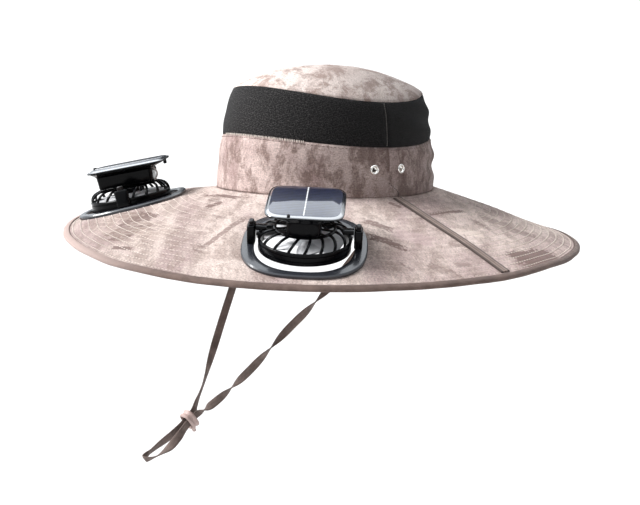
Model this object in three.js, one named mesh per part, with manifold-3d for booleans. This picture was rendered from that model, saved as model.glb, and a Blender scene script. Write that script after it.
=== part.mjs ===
// A wide-brimmed sun hat with two small solar-driven fans on its brim and a cord under the chin.
// Millimetres. Origin: centre of the head opening, in the plane where crown and brim meet.
// +Z is up, the hat faces -Y.
// Theta runs round the hat: 0 at the front, 90 degrees at +X, 180 at the back.
import * as THREE from "three";
import Module from "manifold-3d";

const wasm = await Module();
wasm.setup();
const { Manifold, Mesh } = wasm;

// ---- Driving sizes -------------------------------------------------------
const HEAD_HALF_X = 84;          // outside of the crown cloth at its foot, side to side, halved
const HEAD_HALF_Y = 99;          // the same, front to back
const CROWN_HEIGHT = 101.5;       // foot of the crown to the top of the tip
const CLOTH = 1.6;               // crown cloth with its turned-in seam allowance
const GAP = 0.3;                 // free space between pieces that meet
const BRIM_HALF_X = 209;         // outline of the bound brim, side to side, halved
const BRIM_HALF_Y = 225;
const BRIM_DROP = 42.3;          // mean fall of the brim from crown to edge
const FOOT_SAG = 2.5;            // how much lower the crown's foot hangs at the sides
const BRIM_CLOTH = 1.8;          // brim thickness measured upright
const BINDING_WALL = 1;
const BINDING_REACH = 3.8;       // how far the binding laps over the brim
const TAPE_WIDTH = 9.4;
const TAPE_THICK = 1;
const TAPE_TURN = 88.4;          // where the tapes lie, counted from the front
const FAN_ANGLE = 44.4;          // where each fan stands, counted from the front
const PLATE_HALF_LONG = 45;      // base plate, along the brim's slope
const PLATE_HALF_WIDE = 46;      // and across it
const PLATE_THICK = 3;
const PLATE_TO_BINDING = 7.94;   // bare cloth between a plate and the binding
const BRIM_SLOPE = Math.hypot(BRIM_HALF_X - HEAD_HALF_X, BRIM_DROP);
// How far out each fan stands, as a share of the brim width.
const FAN_PLACE = 1 - (PLATE_HALF_LONG + BINDING_REACH + PLATE_TO_BINDING) / BRIM_SLOPE;
const HOLE_HALF_LONG = 39;
const HOLE_HALF_WIDE = 36.5;
const CAGE_RADIUS = 34;
const CAGE_WALL = 1.6;
const CAGE_WALL_TOP = 9;         // height of the plain band at the foot of the cage
const CAGE_TOP = 17.7;
const CAGE_BARS = 18;
const CAGE_TOP_RADIUS = 21;      // where the bars end on the closed top
const CAN_RADIUS = 8.5;          // motor can under the closed top
const CAN_FOOT = 11.3;           // height of its lower face
const PIVOT_HEIGHT = 15;         // tilt axis above the brim
const POST_WIDE = 6.2;
const POST_LONG = 11;
const POST_FACE = CAGE_RADIUS + 1.7;   // inner face of each post, clear of the cage
const KNOB_HIGH = 3.2;
const ARM_HALF_WIDE = 4;         // the arms that carry the cage between its posts
const ARM_HALF_HIGH = 1.8;
const ROTOR_RADIUS = 29.5;
const BLADES = 7;
const HUB_RADIUS = 8.2;
const HUB_HIGH = 7.9;
const BOX_HALF_LONG = 23.4;
const BOX_HALF_WIDE = 12.6;
const PANEL_HALF_LONG = 32.8;
const PANEL_HALF_WIDE = 28.5;
const PANEL_SHIFT = -3.6;        // the panel reaches further in than out
const PANEL_TOP = 35.6;
const PANEL_THICK = 2.6;
const FLARE_HIGH = 3.4;          // height over which the box widens to the panel
const STRAP_WIDE = 6.5;
const STRAP_THICK = 1.2;
const TAU = Math.PI * 2;
const DEG = Math.PI / 180;

// The brim hangs a little unevenly: how far each swing of the edge goes.
const BRIM_SWINGS = { front: -0.7, side: -8.4, twoFold: -1.6, twist: -3.2 };

// How each fan head was left standing, tipped about its two posts.
// A negative angle lifts the outer end.
const FANS = [
  { name: "left", side: 1, tip: -7.5 },
  { name: "right", side: -1, tip: -2.5 },
];

// Crown outline. rise: share of the crown's height. girth: share of the foot's size at that height.
const CROWN_PROFILE = [
  { rise: 0, girth: 1.0 },
  { rise: 0.059, girth: 0.985 },
  { rise: 0.157, girth: 0.972 },
  { rise: 0.276, girth: 0.97 },
  { rise: 0.374, girth: 0.957 },
  { rise: 0.433, girth: 0.945 },
  { rise: 0.532, girth: 0.933 },
  { rise: 0.651, girth: 0.907 },
  { rise: 0.749, girth: 0.878 },
  { rise: 0.817, girth: 0.85 },
];
// The tip, from its seam inwards. rise: share of the way from the seam up to the crown's top.
const TIP_PROFILE = [
  { rise: 0, girth: 0.865 },
  { rise: 0.16, girth: 0.815 },
  { rise: 0.35, girth: 0.72 },
  { rise: 0.58, girth: 0.585 },
  { rise: 0.79, girth: 0.43 },
  { rise: 0.93, girth: 0.25 },
];
const LOWER_SEAM_RISE = 0.409;   // mean height of the seam under the mesh, by the crown's height
const UPPER_SEAM_RISE = 0.774;   // and of the one above it
const LOWER_SEAM_WAVE = 0.039;   // both seams dip at the sides and rise at front and back
const UPPER_SEAM_WAVE = 0.054;

// Strap stations from the +X anchor down to the slider, then along the hanging loop.
const STRAP_PATH = [
  { x: 84, y: 0, z: -8 },
  { x: 72, y: -24, z: -39 },
  { x: 60, y: -44, z: -69 },
  { x: 50.6, y: -60.4, z: -89 },
  { x: 41.7, y: -75.4, z: -106.2 },
  { x: 33.6, y: -89.5, z: -123.5 },
  { x: 24.6, y: -104.5, z: -142 },
  { x: 15.0, y: -119, z: -158.5 },
  { x: 8.0, y: -131, z: -169.8 },
  { x: 2.5, y: -138.5, z: -175.6 },
  { x: 2.1, y: -148.5, z: -183.4 },
  { x: 4.4, y: -158, z: -190.5 },
  { x: 6.4, y: -170, z: -197.5 },
  { x: 4.6, y: -181, z: -202.0 },
];
const STRAP_END = { x: 0, y: -186.5, z: -203.6 };

// ---- Small helpers -------------------------------------------------------
const V = (x, y, z) => new THREE.Vector3(x, y, z);
const clamp01 = (t) => Math.min(1, Math.max(0, t));
const smooth = (t) => clamp01(t) * clamp01(t) * (3 - 2 * clamp01(t));

function tableAt(table, key, column, value) {
  let i = 0;
  while (i < table.length - 2 && value > table[i + 1][key]) i += 1;
  const from = table[i];
  const to = table[i + 1];
  const t = clamp01((value - from[key]) / (to[key] - from[key]));
  return from[column] + (to[column] - from[column]) * t;
}

// A closed solid from points and triangles, turned to face outwards.
function solid(points, triangles) {
  let volume = 0;
  for (const [a, b, c] of triangles) {
    volume += points[a].dot(V(0, 0, 0).crossVectors(points[b], points[c]));
  }
  const faces = volume < 0 ? triangles.map(([a, b, c]) => [a, c, b]) : triangles;
  const geometry = new THREE.BufferGeometry();
  const position = new Float32Array(points.flatMap((p) => [p.x, p.y, p.z]));
  geometry.setAttribute("position", new THREE.BufferAttribute(position, 3));
  geometry.setIndex(faces.flat());
  return geometry;
}

// Rings of equal length joined side by side.
// wrap: the last ring meets the first. Otherwise both ends are capped.
function ringsToSolid(rings, wrap) {
  const points = rings.flat();
  const size = rings[0].length;
  const triangles = [];
  const steps = wrap ? rings.length : rings.length - 1;
  for (let i = 0; i < steps; i += 1) {
    const next = (i + 1) % rings.length;
    for (let j = 0; j < size; j += 1) {
      const k = (j + 1) % size;
      triangles.push([i * size + j, next * size + j, next * size + k]);
      triangles.push([i * size + j, next * size + k, i * size + k]);
    }
  }
  if (!wrap) {
    for (const end of [0, rings.length - 1]) {
      const middle = points.length;
      points.push(rings[end].reduce((sum, p) => sum.add(p), V(0, 0, 0)).divideScalar(size));
      for (let j = 0; j < size; j += 1) {
        const a = end * size + j;
        const b = end * size + ((j + 1) % size);
        triangles.push(end === 0 ? [middle, a, b] : [middle, b, a]);
      }
    }
  }
  return solid(points, triangles);
}

function toManifold(geometry) {
  const g = geometry;
  return new Manifold(
    new Mesh({
      numProp: 3,
      vertProperties: new Float32Array(g.attributes.position.array),
      triVerts: new Uint32Array(g.index.array),
    }),
  );
}

function fromManifold(body) {
  const m = body.getMesh();
  const position = new Float32Array(m.numVert * 3);
  for (let i = 0; i < m.numVert; i += 1) {
    position.set(m.vertProperties.subarray(i * m.numProp, i * m.numProp + 3), i * 3);
  }
  const geometry = new THREE.BufferGeometry();
  geometry.setAttribute("position", new THREE.BufferAttribute(position, 3));
  geometry.setIndex(new THREE.BufferAttribute(new Uint32Array(m.triVerts), 1));
  return geometry;
}

// Rounded rectangle in the XY plane, counted round by angle.
function roundedLoop(halfX, halfY, power, z, count, shiftX = 0) {
  const loop = [];
  for (let i = 0; i < count; i += 1) {
    const a = ((i + 0.5) / count) * TAU;
    const c = Math.cos(a);
    const s = Math.sin(a);
    const x = Math.sign(c) * Math.abs(c) ** (2 / power) * halfX;
    const y = Math.sign(s) * Math.abs(s) ** (2 / power) * halfY;
    loop.push(V(shiftX + x, y, z));
  }
  return loop;
}

const stackToSolid = (loops) => ringsToSolid(loops, false);

// ---- Brim surface --------------------------------------------------------
const footRise = (theta) => -FOOT_SAG * Math.sin(theta) ** 2;

function brimRest(theta, t) {
  const halfX = HEAD_HALF_X + (BRIM_HALF_X - HEAD_HALF_X) * t;
  const halfY = HEAD_HALF_Y + (BRIM_HALF_Y - HEAD_HALF_Y) * t;
  const s = BRIM_SWINGS;
  const swing = s.front * Math.cos(theta) + s.side * Math.sin(theta);
  const fold = s.twoFold * Math.cos(2 * theta) + s.twist * Math.sin(2 * theta);
  const fall = (-BRIM_DROP + swing + fold) * t + footRise(theta) * (1 - t) ** 2;
  return V(halfX * Math.sin(theta), -halfY * Math.cos(theta), fall);
}

// Local frame of a fan on the brim: X outwards down the slope, Y round the hat, Z off the cloth.
function fanFrame(side) {
  const theta = FAN_ANGLE * DEG * side;
  const h = 0.02;
  const centre = brimRest(theta, FAN_PLACE);
  const outward = brimRest(theta, FAN_PLACE + h).sub(brimRest(theta, FAN_PLACE - h)).normalize();
  const along = brimRest(theta + h, FAN_PLACE).sub(brimRest(theta - h, FAN_PLACE));
  const normal = V(0, 0, 0).crossVectors(outward, along).normalize();
  const round = V(0, 0, 0).crossVectors(normal, outward).normalize();
  const matrix = new THREE.Matrix4().makeBasis(outward, round, normal).setPosition(centre);
  return { centre, outward, round, normal, matrix };
}
const FRAMES = FANS.map((fan) => fanFrame(fan.side));

// The cloth lies flat under each base plate and eases back to its own shape round it
// and towards the edge.
const EDGE_FREE = 0.95;
function brimPoint(theta, t) {
  const p = brimRest(theta, t);
  for (const f of FRAMES) {
    const q = p.clone().sub(f.centre);
    const across = Math.abs(q.dot(f.round)) / (PLATE_HALF_WIDE + 3);
    const along = Math.abs(q.dot(f.outward)) / (PLATE_HALF_LONG + 3);
    const distance = (across ** 3 + along ** 3) ** (1 / 3);
    const weight = (1 - smooth((distance - 1) / 0.5)) * smooth((EDGE_FREE - t) / 0.07);
    const flat = f.centre.z - (f.normal.x * q.x + f.normal.y * q.y) / f.normal.z;
    p.z += (flat - p.z) * weight;
  }
  return p;
}

const BRIM_TURNS = 52;
const CLOTH_EDGE = 1 - 2 / (BRIM_HALF_X - HEAD_HALF_X);
const BINDING_START = CLOTH_EDGE - BINDING_REACH / (BRIM_HALF_X - HEAD_HALF_X);
const BRIM_ROWS = [-0.016, 0.18, 0.35, 0.52, 0.69, 0.83, BINDING_START, CLOTH_EDGE];

function brimShell() {
  const rings = [];
  for (let i = 0; i < BRIM_TURNS; i += 1) {
    const theta = (i / BRIM_TURNS) * TAU;
    const top = BRIM_ROWS.map((t) => brimPoint(theta, Math.max(t, 0)).add(
      t < 0 ? V(-2 * Math.sin(theta), 2 * Math.cos(theta), 0) : V(0, 0, 0),
    ));
    const under = top.map((p) => V(p.x, p.y, p.z - BRIM_CLOTH)).reverse();
    rings.push([...top, ...under]);
  }
  let body = toManifold(ringsToSolid(rings, true));
  for (const f of FRAMES) {
    const cutter = [-12, 12].map(
      (z) => roundedLoop(HOLE_HALF_LONG + 0.8, HOLE_HALF_WIDE + 0.8, 2.5, z, 32),
    );
    const hole = stackToSolid(cutter).applyMatrix4(f.matrix);
    body = body.subtract(toManifold(hole));
  }
  return fromManifold(body);
}

function brimBinding() {
  const rings = [];
  for (let i = 0; i < BRIM_TURNS; i += 1) {
    const theta = (i / BRIM_TURNS) * TAU;
    const edge = brimPoint(theta, CLOTH_EDGE);
    const out = edge.clone().sub(brimPoint(theta, BINDING_START)).normalize();
    const at = (e, v) => edge.clone().addScaledVector(out, e).add(V(0, 0, v));
    const free = GAP * 1.3;
    const up = free + BINDING_WALL;
    const low = -BRIM_CLOTH - free;
    rings.push([
      at(-BINDING_REACH, up),
      at(GAP, up),
      at(GAP + BINDING_WALL, -BRIM_CLOTH / 2),
      at(GAP, low - BINDING_WALL),
      at(-BINDING_REACH, low - BINDING_WALL),
      at(-BINDING_REACH, low),
      at(GAP, low),
      at(GAP, free),
      at(-BINDING_REACH, free),
    ]);
  }
  return ringsToSolid(rings, true);
}

// A webbing strip lying on the brim from the crown to the binding.
function brimTape(side) {
  const rings = [];
  const steps = 12;
  const from = 0.02;
  const to = BINDING_START - 0.01;
  for (let i = 0; i <= steps; i += 1) {
    const t = from + ((to - from) * i) / steps;
    const row = [-1, 1].map((s) => {
      const halfY = HEAD_HALF_Y + (BRIM_HALF_Y - HEAD_HALF_Y) * t;
      const turn = (s * TAPE_WIDTH) / 2 / halfY;
      return brimPoint((TAPE_TURN * DEG + turn) * side, t);
    });
    const low = GAP + 0.15;
    rings.push([
      row[0].clone().add(V(0, 0, low)),
      row[1].clone().add(V(0, 0, low)),
      row[1].clone().add(V(0, 0, low + TAPE_THICK)),
      row[0].clone().add(V(0, 0, low + TAPE_THICK)),
    ]);
  }
  return ringsToSolid(rings, false);
}

// ---- Crown ---------------------------------------------------------------
const CROWN_TURNS = 40;
const seamAt = (rise, wave, theta) => CROWN_HEIGHT * (rise + wave * Math.cos(2 * theta));
const lowerSeam = (theta) => seamAt(LOWER_SEAM_RISE, LOWER_SEAM_WAVE, theta);
const upperSeam = (theta) => seamAt(UPPER_SEAM_RISE, UPPER_SEAM_WAVE, theta);

function crownPoint(theta, z, inset) {
  const girth = tableAt(CROWN_PROFILE, "rise", "girth", z / CROWN_HEIGHT);
  const halfX = HEAD_HALF_X * girth - inset;
  const halfY = HEAD_HALF_Y * girth - inset;
  return V(halfX * Math.sin(theta), -halfY * Math.cos(theta), z);
}

function crownBand(low, high, rows) {
  const rings = [];
  for (let i = 0; i < CROWN_TURNS; i += 1) {
    const theta = (i / CROWN_TURNS) * TAU;
    const heights = [];
    for (let j = 0; j <= rows; j += 1) {
      heights.push(low(theta) + ((high(theta) - low(theta)) * j) / rows);
    }
    const outside = heights.map((z) => crownPoint(theta, z, 0));
    const inside = heights.map((z) => crownPoint(theta, z, CLOTH)).reverse();
    rings.push([...outside, ...inside]);
  }
  return ringsToSolid(rings, true);
}

const EYELETS = [
  { name: "front", turn: -8.3 },
  { name: "back", turn: 8.3 },
];
const EYELET_HEIGHT = 20.3;
const EYELET_HOLE = 2.6;         // radius cut in the cloth
const EYELET_FLANGE = 3.9;       // outer radius of the metal ring
const EYELET_METAL = 1;
const EYELET_CENTRE = 84.5;

function eyeletFrame(side, turn) {
  const theta = (EYELET_CENTRE + turn) * DEG * side;
  const centre = crownPoint(theta, EYELET_HEIGHT, 0);
  const between = (a, b) => a.sub(b).normalize();
  const ahead = between(
    crownPoint(theta + 0.02, EYELET_HEIGHT, 0),
    crownPoint(theta - 0.02, EYELET_HEIGHT, 0),
  );
  const upward = between(
    crownPoint(theta, EYELET_HEIGHT + 1, 0),
    crownPoint(theta, EYELET_HEIGHT - 1, 0),
  );
  const normal = V(0, 0, 0).crossVectors(ahead, upward).normalize();
  const across = V(0, 0, 0).crossVectors(upward, normal).normalize();
  return new THREE.Matrix4().makeBasis(across, upward, normal).setPosition(centre);
}

function crownSideBand() {
  let body = toManifold(crownBand((theta) => GAP + footRise(theta), (theta) => lowerSeam(theta) - GAP / 2, 4));
  for (const side of [1, -1]) {
    for (const { turn } of EYELETS) {
      const ends = [-4, 4].map((z) => roundedLoop(EYELET_HOLE, EYELET_HOLE, 2, z, 12));
      const drill = stackToSolid(ends).applyMatrix4(eyeletFrame(side, turn));
      body = body.subtract(toManifold(drill));
    }
  }
  return fromManifold(body);
}

function crownTip() {
  const rings = [];
  for (let i = 0; i < CROWN_TURNS; i += 1) {
    const theta = (i / CROWN_TURNS) * TAU;
    const foot = upperSeam(theta) + GAP / 2;
    const footGirth = tableAt(CROWN_PROFILE, "rise", "girth", foot / CROWN_HEIGHT);
    const start = TIP_PROFILE[0].girth;
    const wider = (footGirth - start) / start;
    const rows = TIP_PROFILE.map((row) => ({
      z: foot + row.rise * (CROWN_HEIGHT - foot),
      girth: row.girth * (1 + wider * clamp01((row.girth - 0.4) / (start - 0.4))),
    }));
    const place = (girth, z, inset) => V(
      (HEAD_HALF_X * girth - inset) * Math.sin(theta),
      -(HEAD_HALF_Y * girth - inset) * Math.cos(theta),
      z,
    );
    const outside = rows.map((row) => place(row.girth, row.z, 0));
    const inside = rows.map(
      (row, j) => place(row.girth, row.z - (j ? CLOTH : 0), j ? CLOTH * 0.7 : CLOTH),
    );
    rings.push({ outside, inside });
  }
  const points = [];
  const triangles = [];
  const size = TIP_PROFILE.length;
  for (const ring of rings) points.push(...ring.outside, ...ring.inside);
  const top = points.push(V(0, 0, CROWN_HEIGHT)) - 1;
  const under = points.push(V(0, 0, CROWN_HEIGHT - CLOTH)) - 1;
  for (let i = 0; i < CROWN_TURNS; i += 1) {
    const a = i * size * 2;
    const b = ((i + 1) % CROWN_TURNS) * size * 2;
    for (let j = 0; j < size - 1; j += 1) {
      triangles.push([a + j, b + j, b + j + 1], [a + j, b + j + 1, a + j + 1]);
      triangles.push([a + size + j, b + size + j + 1, b + size + j]);
      triangles.push([a + size + j, a + size + j + 1, b + size + j + 1]);
    }
    triangles.push([a + size - 1, b + size - 1, top]);
    triangles.push([a + size * 2 - 1, under, b + size * 2 - 1]);
    triangles.push([a, a + size, b + size], [a, b + size, b]);
  }
  return solid(points, triangles);
}

// An eyelet: a flange on the cloth and a short barrel through its hole.
function eyelet() {
  const barrel = EYELET_HOLE - GAP;
  const profile = [
    { r: barrel - EYELET_METAL, z: -CLOTH * 0.75 },
    { r: barrel, z: -CLOTH * 0.75 },
    { r: barrel, z: GAP },
    { r: EYELET_FLANGE, z: GAP },
    { r: EYELET_FLANGE - 0.3, z: GAP + EYELET_METAL },
    { r: barrel - EYELET_METAL + 0.3, z: GAP + EYELET_METAL },
  ];
  const rings = [];
  for (let i = 0; i < 10; i += 1) {
    const a = ((i + 0.5) / 10) * TAU;
    rings.push(profile.map((p) => V(p.r * Math.cos(a), p.r * Math.sin(a), p.z)));
  }
  return ringsToSolid(rings, true);
}

// ---- Fans ----------------------------------------------------------------
function basePlate() {
  const count = 32;
  const low = GAP;
  const high = GAP + PLATE_THICK;
  const loops = [
    roundedLoop(HOLE_HALF_LONG, HOLE_HALF_WIDE, 2.5, low, count),
    roundedLoop(PLATE_HALF_LONG, PLATE_HALF_WIDE, 2.7, low, count),
    roundedLoop(PLATE_HALF_LONG, PLATE_HALF_WIDE, 2.7, high - 1.2, count),
    roundedLoop(PLATE_HALF_LONG - 1.2, PLATE_HALF_WIDE - 1.2, 2.7, high, count),
    roundedLoop(HOLE_HALF_LONG, HOLE_HALF_WIDE, 2.5, high, count),
  ];
  const rings = loops[0].map((_, i) => loops.map((loop) => loop[i]));
  return ringsToSolid(rings, true);
}

// A post with a small knob on top, standing at one end of the plate.
function post(sign) {
  const foot = GAP * 2 + PLATE_THICK;
  const middle = POST_FACE + POST_WIDE / 2;
  const top = PIVOT_HEIGHT + ARM_HALF_HIGH + 0.8;
  const rows = [
    { z: foot, long: POST_LONG / 2, wide: POST_WIDE / 2 },
    { z: top - 0.8, long: POST_LONG / 2, wide: POST_WIDE / 2 },
    { z: top, long: POST_LONG / 2 - 0.8, wide: POST_WIDE / 2 - 0.8 },
    { z: top, long: POST_LONG * 0.24, wide: POST_WIDE * 0.32 },
    { z: top + KNOB_HIGH, long: POST_LONG * 0.21, wide: POST_WIDE * 0.28 },
  ];
  const loops = rows.map((row) => roundedLoop(row.long, row.wide, 5, row.z, 8));
  return stackToSolid(loops).translate(0, sign * middle, 0);
}

// The cage: a plain band, a ring of leaning bars with open slots between them,
// and a closed top with a motor can.
const CAGE_ROWS = [
  { r: CAGE_RADIUS, z: 0.2, lean: 0 },
  { r: CAGE_RADIUS, z: CAGE_WALL_TOP, lean: 0 },
  { r: CAGE_RADIUS * 0.9, z: CAGE_WALL_TOP + (CAGE_TOP - CAGE_WALL_TOP) * 0.58, lean: 5 },
  { r: CAGE_TOP_RADIUS, z: CAGE_TOP, lean: 11 },
];
function cage() {
  const perBar = 2;
  const turns = CAGE_BARS * perBar;
  const shares = [0, 0.27];
  const points = [];
  const triangles = [];
  const rows = CAGE_ROWS.length;
  const place = (i, row, inset) => {
    const bar = Math.floor(i / perBar) % CAGE_BARS;
    const a = ((bar + shares[i % perBar]) / CAGE_BARS) * TAU + row.lean * DEG;
    const r = row.r - inset;
    return V(r * Math.cos(a), r * Math.sin(a), row.z - (row.z > CAGE_WALL_TOP ? inset * 0.7 : 0));
  };
  for (let i = 0; i < turns; i += 1) for (const row of CAGE_ROWS) points.push(place(i, row, 0));
  for (let i = 0; i < turns; i += 1) for (const row of CAGE_ROWS) points.push(place(i, row, CAGE_WALL));
  points.push(V(0, 0, CAGE_TOP), V(0, 0, CAGE_TOP - CAGE_WALL));
  const outer = (i, j) => (i % turns) * rows + j;
  const inner = (i, j) => turns * rows + (i % turns) * rows + j;
  const open = (i, j) => j >= 1 && i % perBar !== 0;
  const solidCell = (i, j) => j >= 0 && j < rows - 1 && !open((i + turns) % turns, j);
  for (let i = 0; i < turns; i += 1) {
    for (let j = 0; j < rows - 1; j += 1) {
      if (!solidCell(i, j)) continue;
      triangles.push([outer(i, j), outer(i + 1, j), outer(i + 1, j + 1)]);
      triangles.push([outer(i, j), outer(i + 1, j + 1), outer(i, j + 1)]);
      triangles.push([inner(i, j), inner(i + 1, j + 1), inner(i + 1, j)]);
      triangles.push([inner(i, j), inner(i, j + 1), inner(i + 1, j + 1)]);
      const wall = (a, b, ia, ib) => triangles.push([a, ia, ib], [a, ib, b]);
      if (!solidCell(i - 1 + turns, j)) {
        wall(outer(i, j + 1), outer(i, j), inner(i, j + 1), inner(i, j));
      }
      if (!solidCell(i + 1, j)) {
        wall(outer(i + 1, j), outer(i + 1, j + 1), inner(i + 1, j), inner(i + 1, j + 1));
      }
      if (!solidCell(i, j - 1)) {
        wall(outer(i, j), outer(i + 1, j), inner(i, j), inner(i + 1, j));
      }
      if (j + 1 < rows - 1 && !solidCell(i, j + 1)) {
        wall(outer(i + 1, j + 1), outer(i, j + 1), inner(i + 1, j + 1), inner(i, j + 1));
      }
    }
    const top = rows - 1;
    const upper = 2 * turns * rows;
    const lower = upper + 1;
    triangles.push([outer(i, top), outer(i + 1, top), upper]);
    triangles.push([inner(i + 1, top), inner(i, top), lower]);
    if (open(i, top - 1)) {
      triangles.push([outer(i, top), inner(i, top), inner(i + 1, top)]);
      triangles.push([outer(i, top), inner(i + 1, top), outer(i + 1, top)]);
    }
  }
  let body = toManifold(solid(points, triangles));
  const canEnds = [CAGE_TOP - CAGE_WALL / 2, CAN_FOOT];
  const can = stackToSolid(canEnds.map((z) => roundedLoop(CAN_RADIUS, CAN_RADIUS, 2, z, 16)));
  body = body.add(toManifold(can));
  for (const sign of [1, -1]) {
    const reach = [CAGE_TOP_RADIUS + 1, POST_FACE - GAP];
    const high = PIVOT_HEIGHT + ARM_HALF_HIGH;
    const low = PIVOT_HEIGHT - ARM_HALF_HIGH;
    const w = ARM_HALF_WIDE;
    const loops = reach.map((y) => [
      V(-w, sign * y, low),
      V(w, sign * y, low),
      V(w, sign * y, high),
      V(-w, sign * y, high),
    ]);
    body = body.add(toManifold(stackToSolid(loops)));
  }
  return fromManifold(body);
}

function rotor() {
  const hub = stackToSolid([
    roundedLoop(HUB_RADIUS, HUB_RADIUS, 2, CAN_FOOT - GAP, 16),
    roundedLoop(HUB_RADIUS, HUB_RADIUS, 2, CAN_FOOT - HUB_HIGH + 0.8, 16),
    roundedLoop(HUB_RADIUS * 0.8, HUB_RADIUS * 0.8, 2, CAN_FOOT - HUB_HIGH, 16),
  ]);
  let body = toManifold(hub);
  const stations = [
    { r: HUB_RADIUS * 0.85, half: 0.12 * ROTOR_RADIUS, tip: 34, turn: 0 },
    { r: ROTOR_RADIUS * 0.5, half: 0.22 * ROTOR_RADIUS, tip: 28, turn: 4 },
    { r: ROTOR_RADIUS * 0.78, half: 0.285 * ROTOR_RADIUS, tip: 22, turn: 9 },
    { r: ROTOR_RADIUS, half: 0.3 * ROTOR_RADIUS, tip: 19, turn: 15 },
  ];
  for (let k = 0; k < BLADES; k += 1) {
    const loops = stations.map((s) => {
      const tip = s.tip * DEG;
      const corner = (u, v) => {
        const y = u * s.half * Math.cos(tip) - v * 0.55 * Math.sin(tip);
        const lift = u * s.half * Math.sin(tip) * 0.85 + v * 0.55 * Math.cos(tip);
        const z = CAN_FOOT - HUB_HIGH / 2 + lift;
        const p = V(Math.sqrt(Math.max(s.r * s.r - y * y, 1)), y, z);
        return p.applyAxisAngle(V(0, 0, 1), (k / BLADES) * TAU + s.turn * DEG);
      };
      return [corner(-1, -1), corner(1, -1), corner(1, 1), corner(-1, 1)];
    });
    body = body.add(toManifold(stackToSolid(loops)));
  }
  return fromManifold(body);
}

// The housing: a small box on the cage that flares out under the panel.
function housing() {
  const count = 24;
  const under = PANEL_TOP - PANEL_THICK - GAP;
  return stackToSolid([
    roundedLoop(BOX_HALF_LONG - 0.8, BOX_HALF_WIDE - 0.8, 8, CAGE_TOP + GAP, count),
    roundedLoop(BOX_HALF_LONG, BOX_HALF_WIDE, 8, CAGE_TOP + GAP + 0.8, count),
    roundedLoop(BOX_HALF_LONG + 2, BOX_HALF_WIDE + 0.6, 8, under - FLARE_HIGH - 1.1, count),
    roundedLoop(PANEL_HALF_LONG - 1.8, PANEL_HALF_WIDE - 1.8, 6, under - 1.1, count, PANEL_SHIFT),
    roundedLoop(PANEL_HALF_LONG - 1.8, PANEL_HALF_WIDE - 1.8, 6, under, count, PANEL_SHIFT),
  ]);
}

function solarPanel() {
  const count = 28;
  const foot = PANEL_TOP - PANEL_THICK;
  const rows = [
    { inset: 0.6, z: foot },
    { inset: 0, z: foot + 0.6 },
    { inset: 0, z: PANEL_TOP - 0.9 },
    { inset: 0.9, z: PANEL_TOP },
  ];
  return stackToSolid(rows.map((row) => roundedLoop(
    PANEL_HALF_LONG - row.inset,
    PANEL_HALF_WIDE - row.inset,
    6,
    row.z,
    count,
    PANEL_SHIFT,
  )));
}

// ---- Chin strap ----------------------------------------------------------
// The whole loop as one flat ribbon: down from +X, through the slider, round the hanging end
// and back up to -X.
function strapStations() {
  const half = STRAP_PATH.map((p) => V(p.x, p.y, p.z));
  const end = V(STRAP_END.x, STRAP_END.y, STRAP_END.z);
  const other = half.map((p) => V(-p.x, p.y, p.z)).reverse();
  const curve = new THREE.CatmullRomCurve3([...half, end, ...other], false, "centripetal");
  return { curve, points: curve.getSpacedPoints(50) };
}

function chinStrap() {
  const { points } = strapStations();
  const last = points.length - 1;
  const rings = points.map((p, i) => {
    const ahead = points[Math.min(i + 1, last)].clone().sub(points[Math.max(i - 1, 0)]).normalize();
    // The ribbon stands on its edge: its width lies in the upright plane that holds the path.
    const side = V(0, 0, 0).crossVectors(ahead, V(0, 0, 1));
    const wide = V(0, 0, 0).crossVectors(side, ahead).normalize();
    const thin = V(0, 0, 0).crossVectors(ahead, wide).normalize();
    const at = (w, h) => p.clone()
      .addScaledVector(wide, (w * STRAP_WIDE) / 2)
      .addScaledVector(thin, (h * STRAP_THICK) / 2);
    return [at(-1, -1), at(1, -1), at(1, 1), at(-1, 1)];
  });
  return ringsToSolid(rings, false);
}

// The slider: a small bead with a slot for each strand.
const SLIDER_CENTRE = V(0, -143.5, -179.6);
function strapToggle() {
  const down = V(0, -8, -6).normalize();
  const across = V(1, 0, 0);
  const up = V(0, 0, 0).crossVectors(down, across).normalize();
  const frame = new THREE.Matrix4().makeBasis(across, up, down).setPosition(SLIDER_CENTRE);
  let body = toManifold(stackToSolid([
    roundedLoop(5.2, 6, 2.6, -5, 16),
    roundedLoop(6.4, 7.2, 2.6, -3, 16),
    roundedLoop(6.4, 7.2, 2.6, 3, 16),
    roundedLoop(5.2, 6, 2.6, 5, 16),
  ]));
  const slot = stackToSolid([-7, 7].map((z) => roundedLoop(4.2, 4.9, 6, z, 10)));
  body = body.subtract(toManifold(slot));
  return fromManifold(body).applyMatrix4(frame);
}

// ---- Assembly ------------------------------------------------------------
const paint = {
  camo: { color: 0xb39d95, roughness: 0.9 },
  tip: { color: 0xcdbbb2, roughness: 0.9 },
  net: { color: 0x35332f, roughness: 0.85 },
  binding: { color: 0x7d655d, roughness: 0.85 },
  tape: { color: 0x6b5a50, roughness: 0.9 },
  metal: { color: 0xb9b4ae, roughness: 0.3, metalness: 1 },
  black: { color: 0x141519, roughness: 0.3 },
  pale: { color: 0xbfc2c4, roughness: 0.5 },
  cell: { color: 0x1b2740, roughness: 0.15 },
  strap: { color: 0x6b5751, roughness: 0.9 },
  toggle: { color: 0xa98a80, roughness: 0.6 },
};
const hat = new THREE.Group();
hat.name = "solar_fan_hat";
function addPiece(name, geometry, look, matrix) {
  const mesh = new THREE.Mesh(geometry, new THREE.MeshStandardMaterial(paint[look]));
  mesh.name = name;
  mesh.material.name = name + "_material";
  if (matrix) mesh.applyMatrix4(matrix);
  hat.add(mesh);
}

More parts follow.
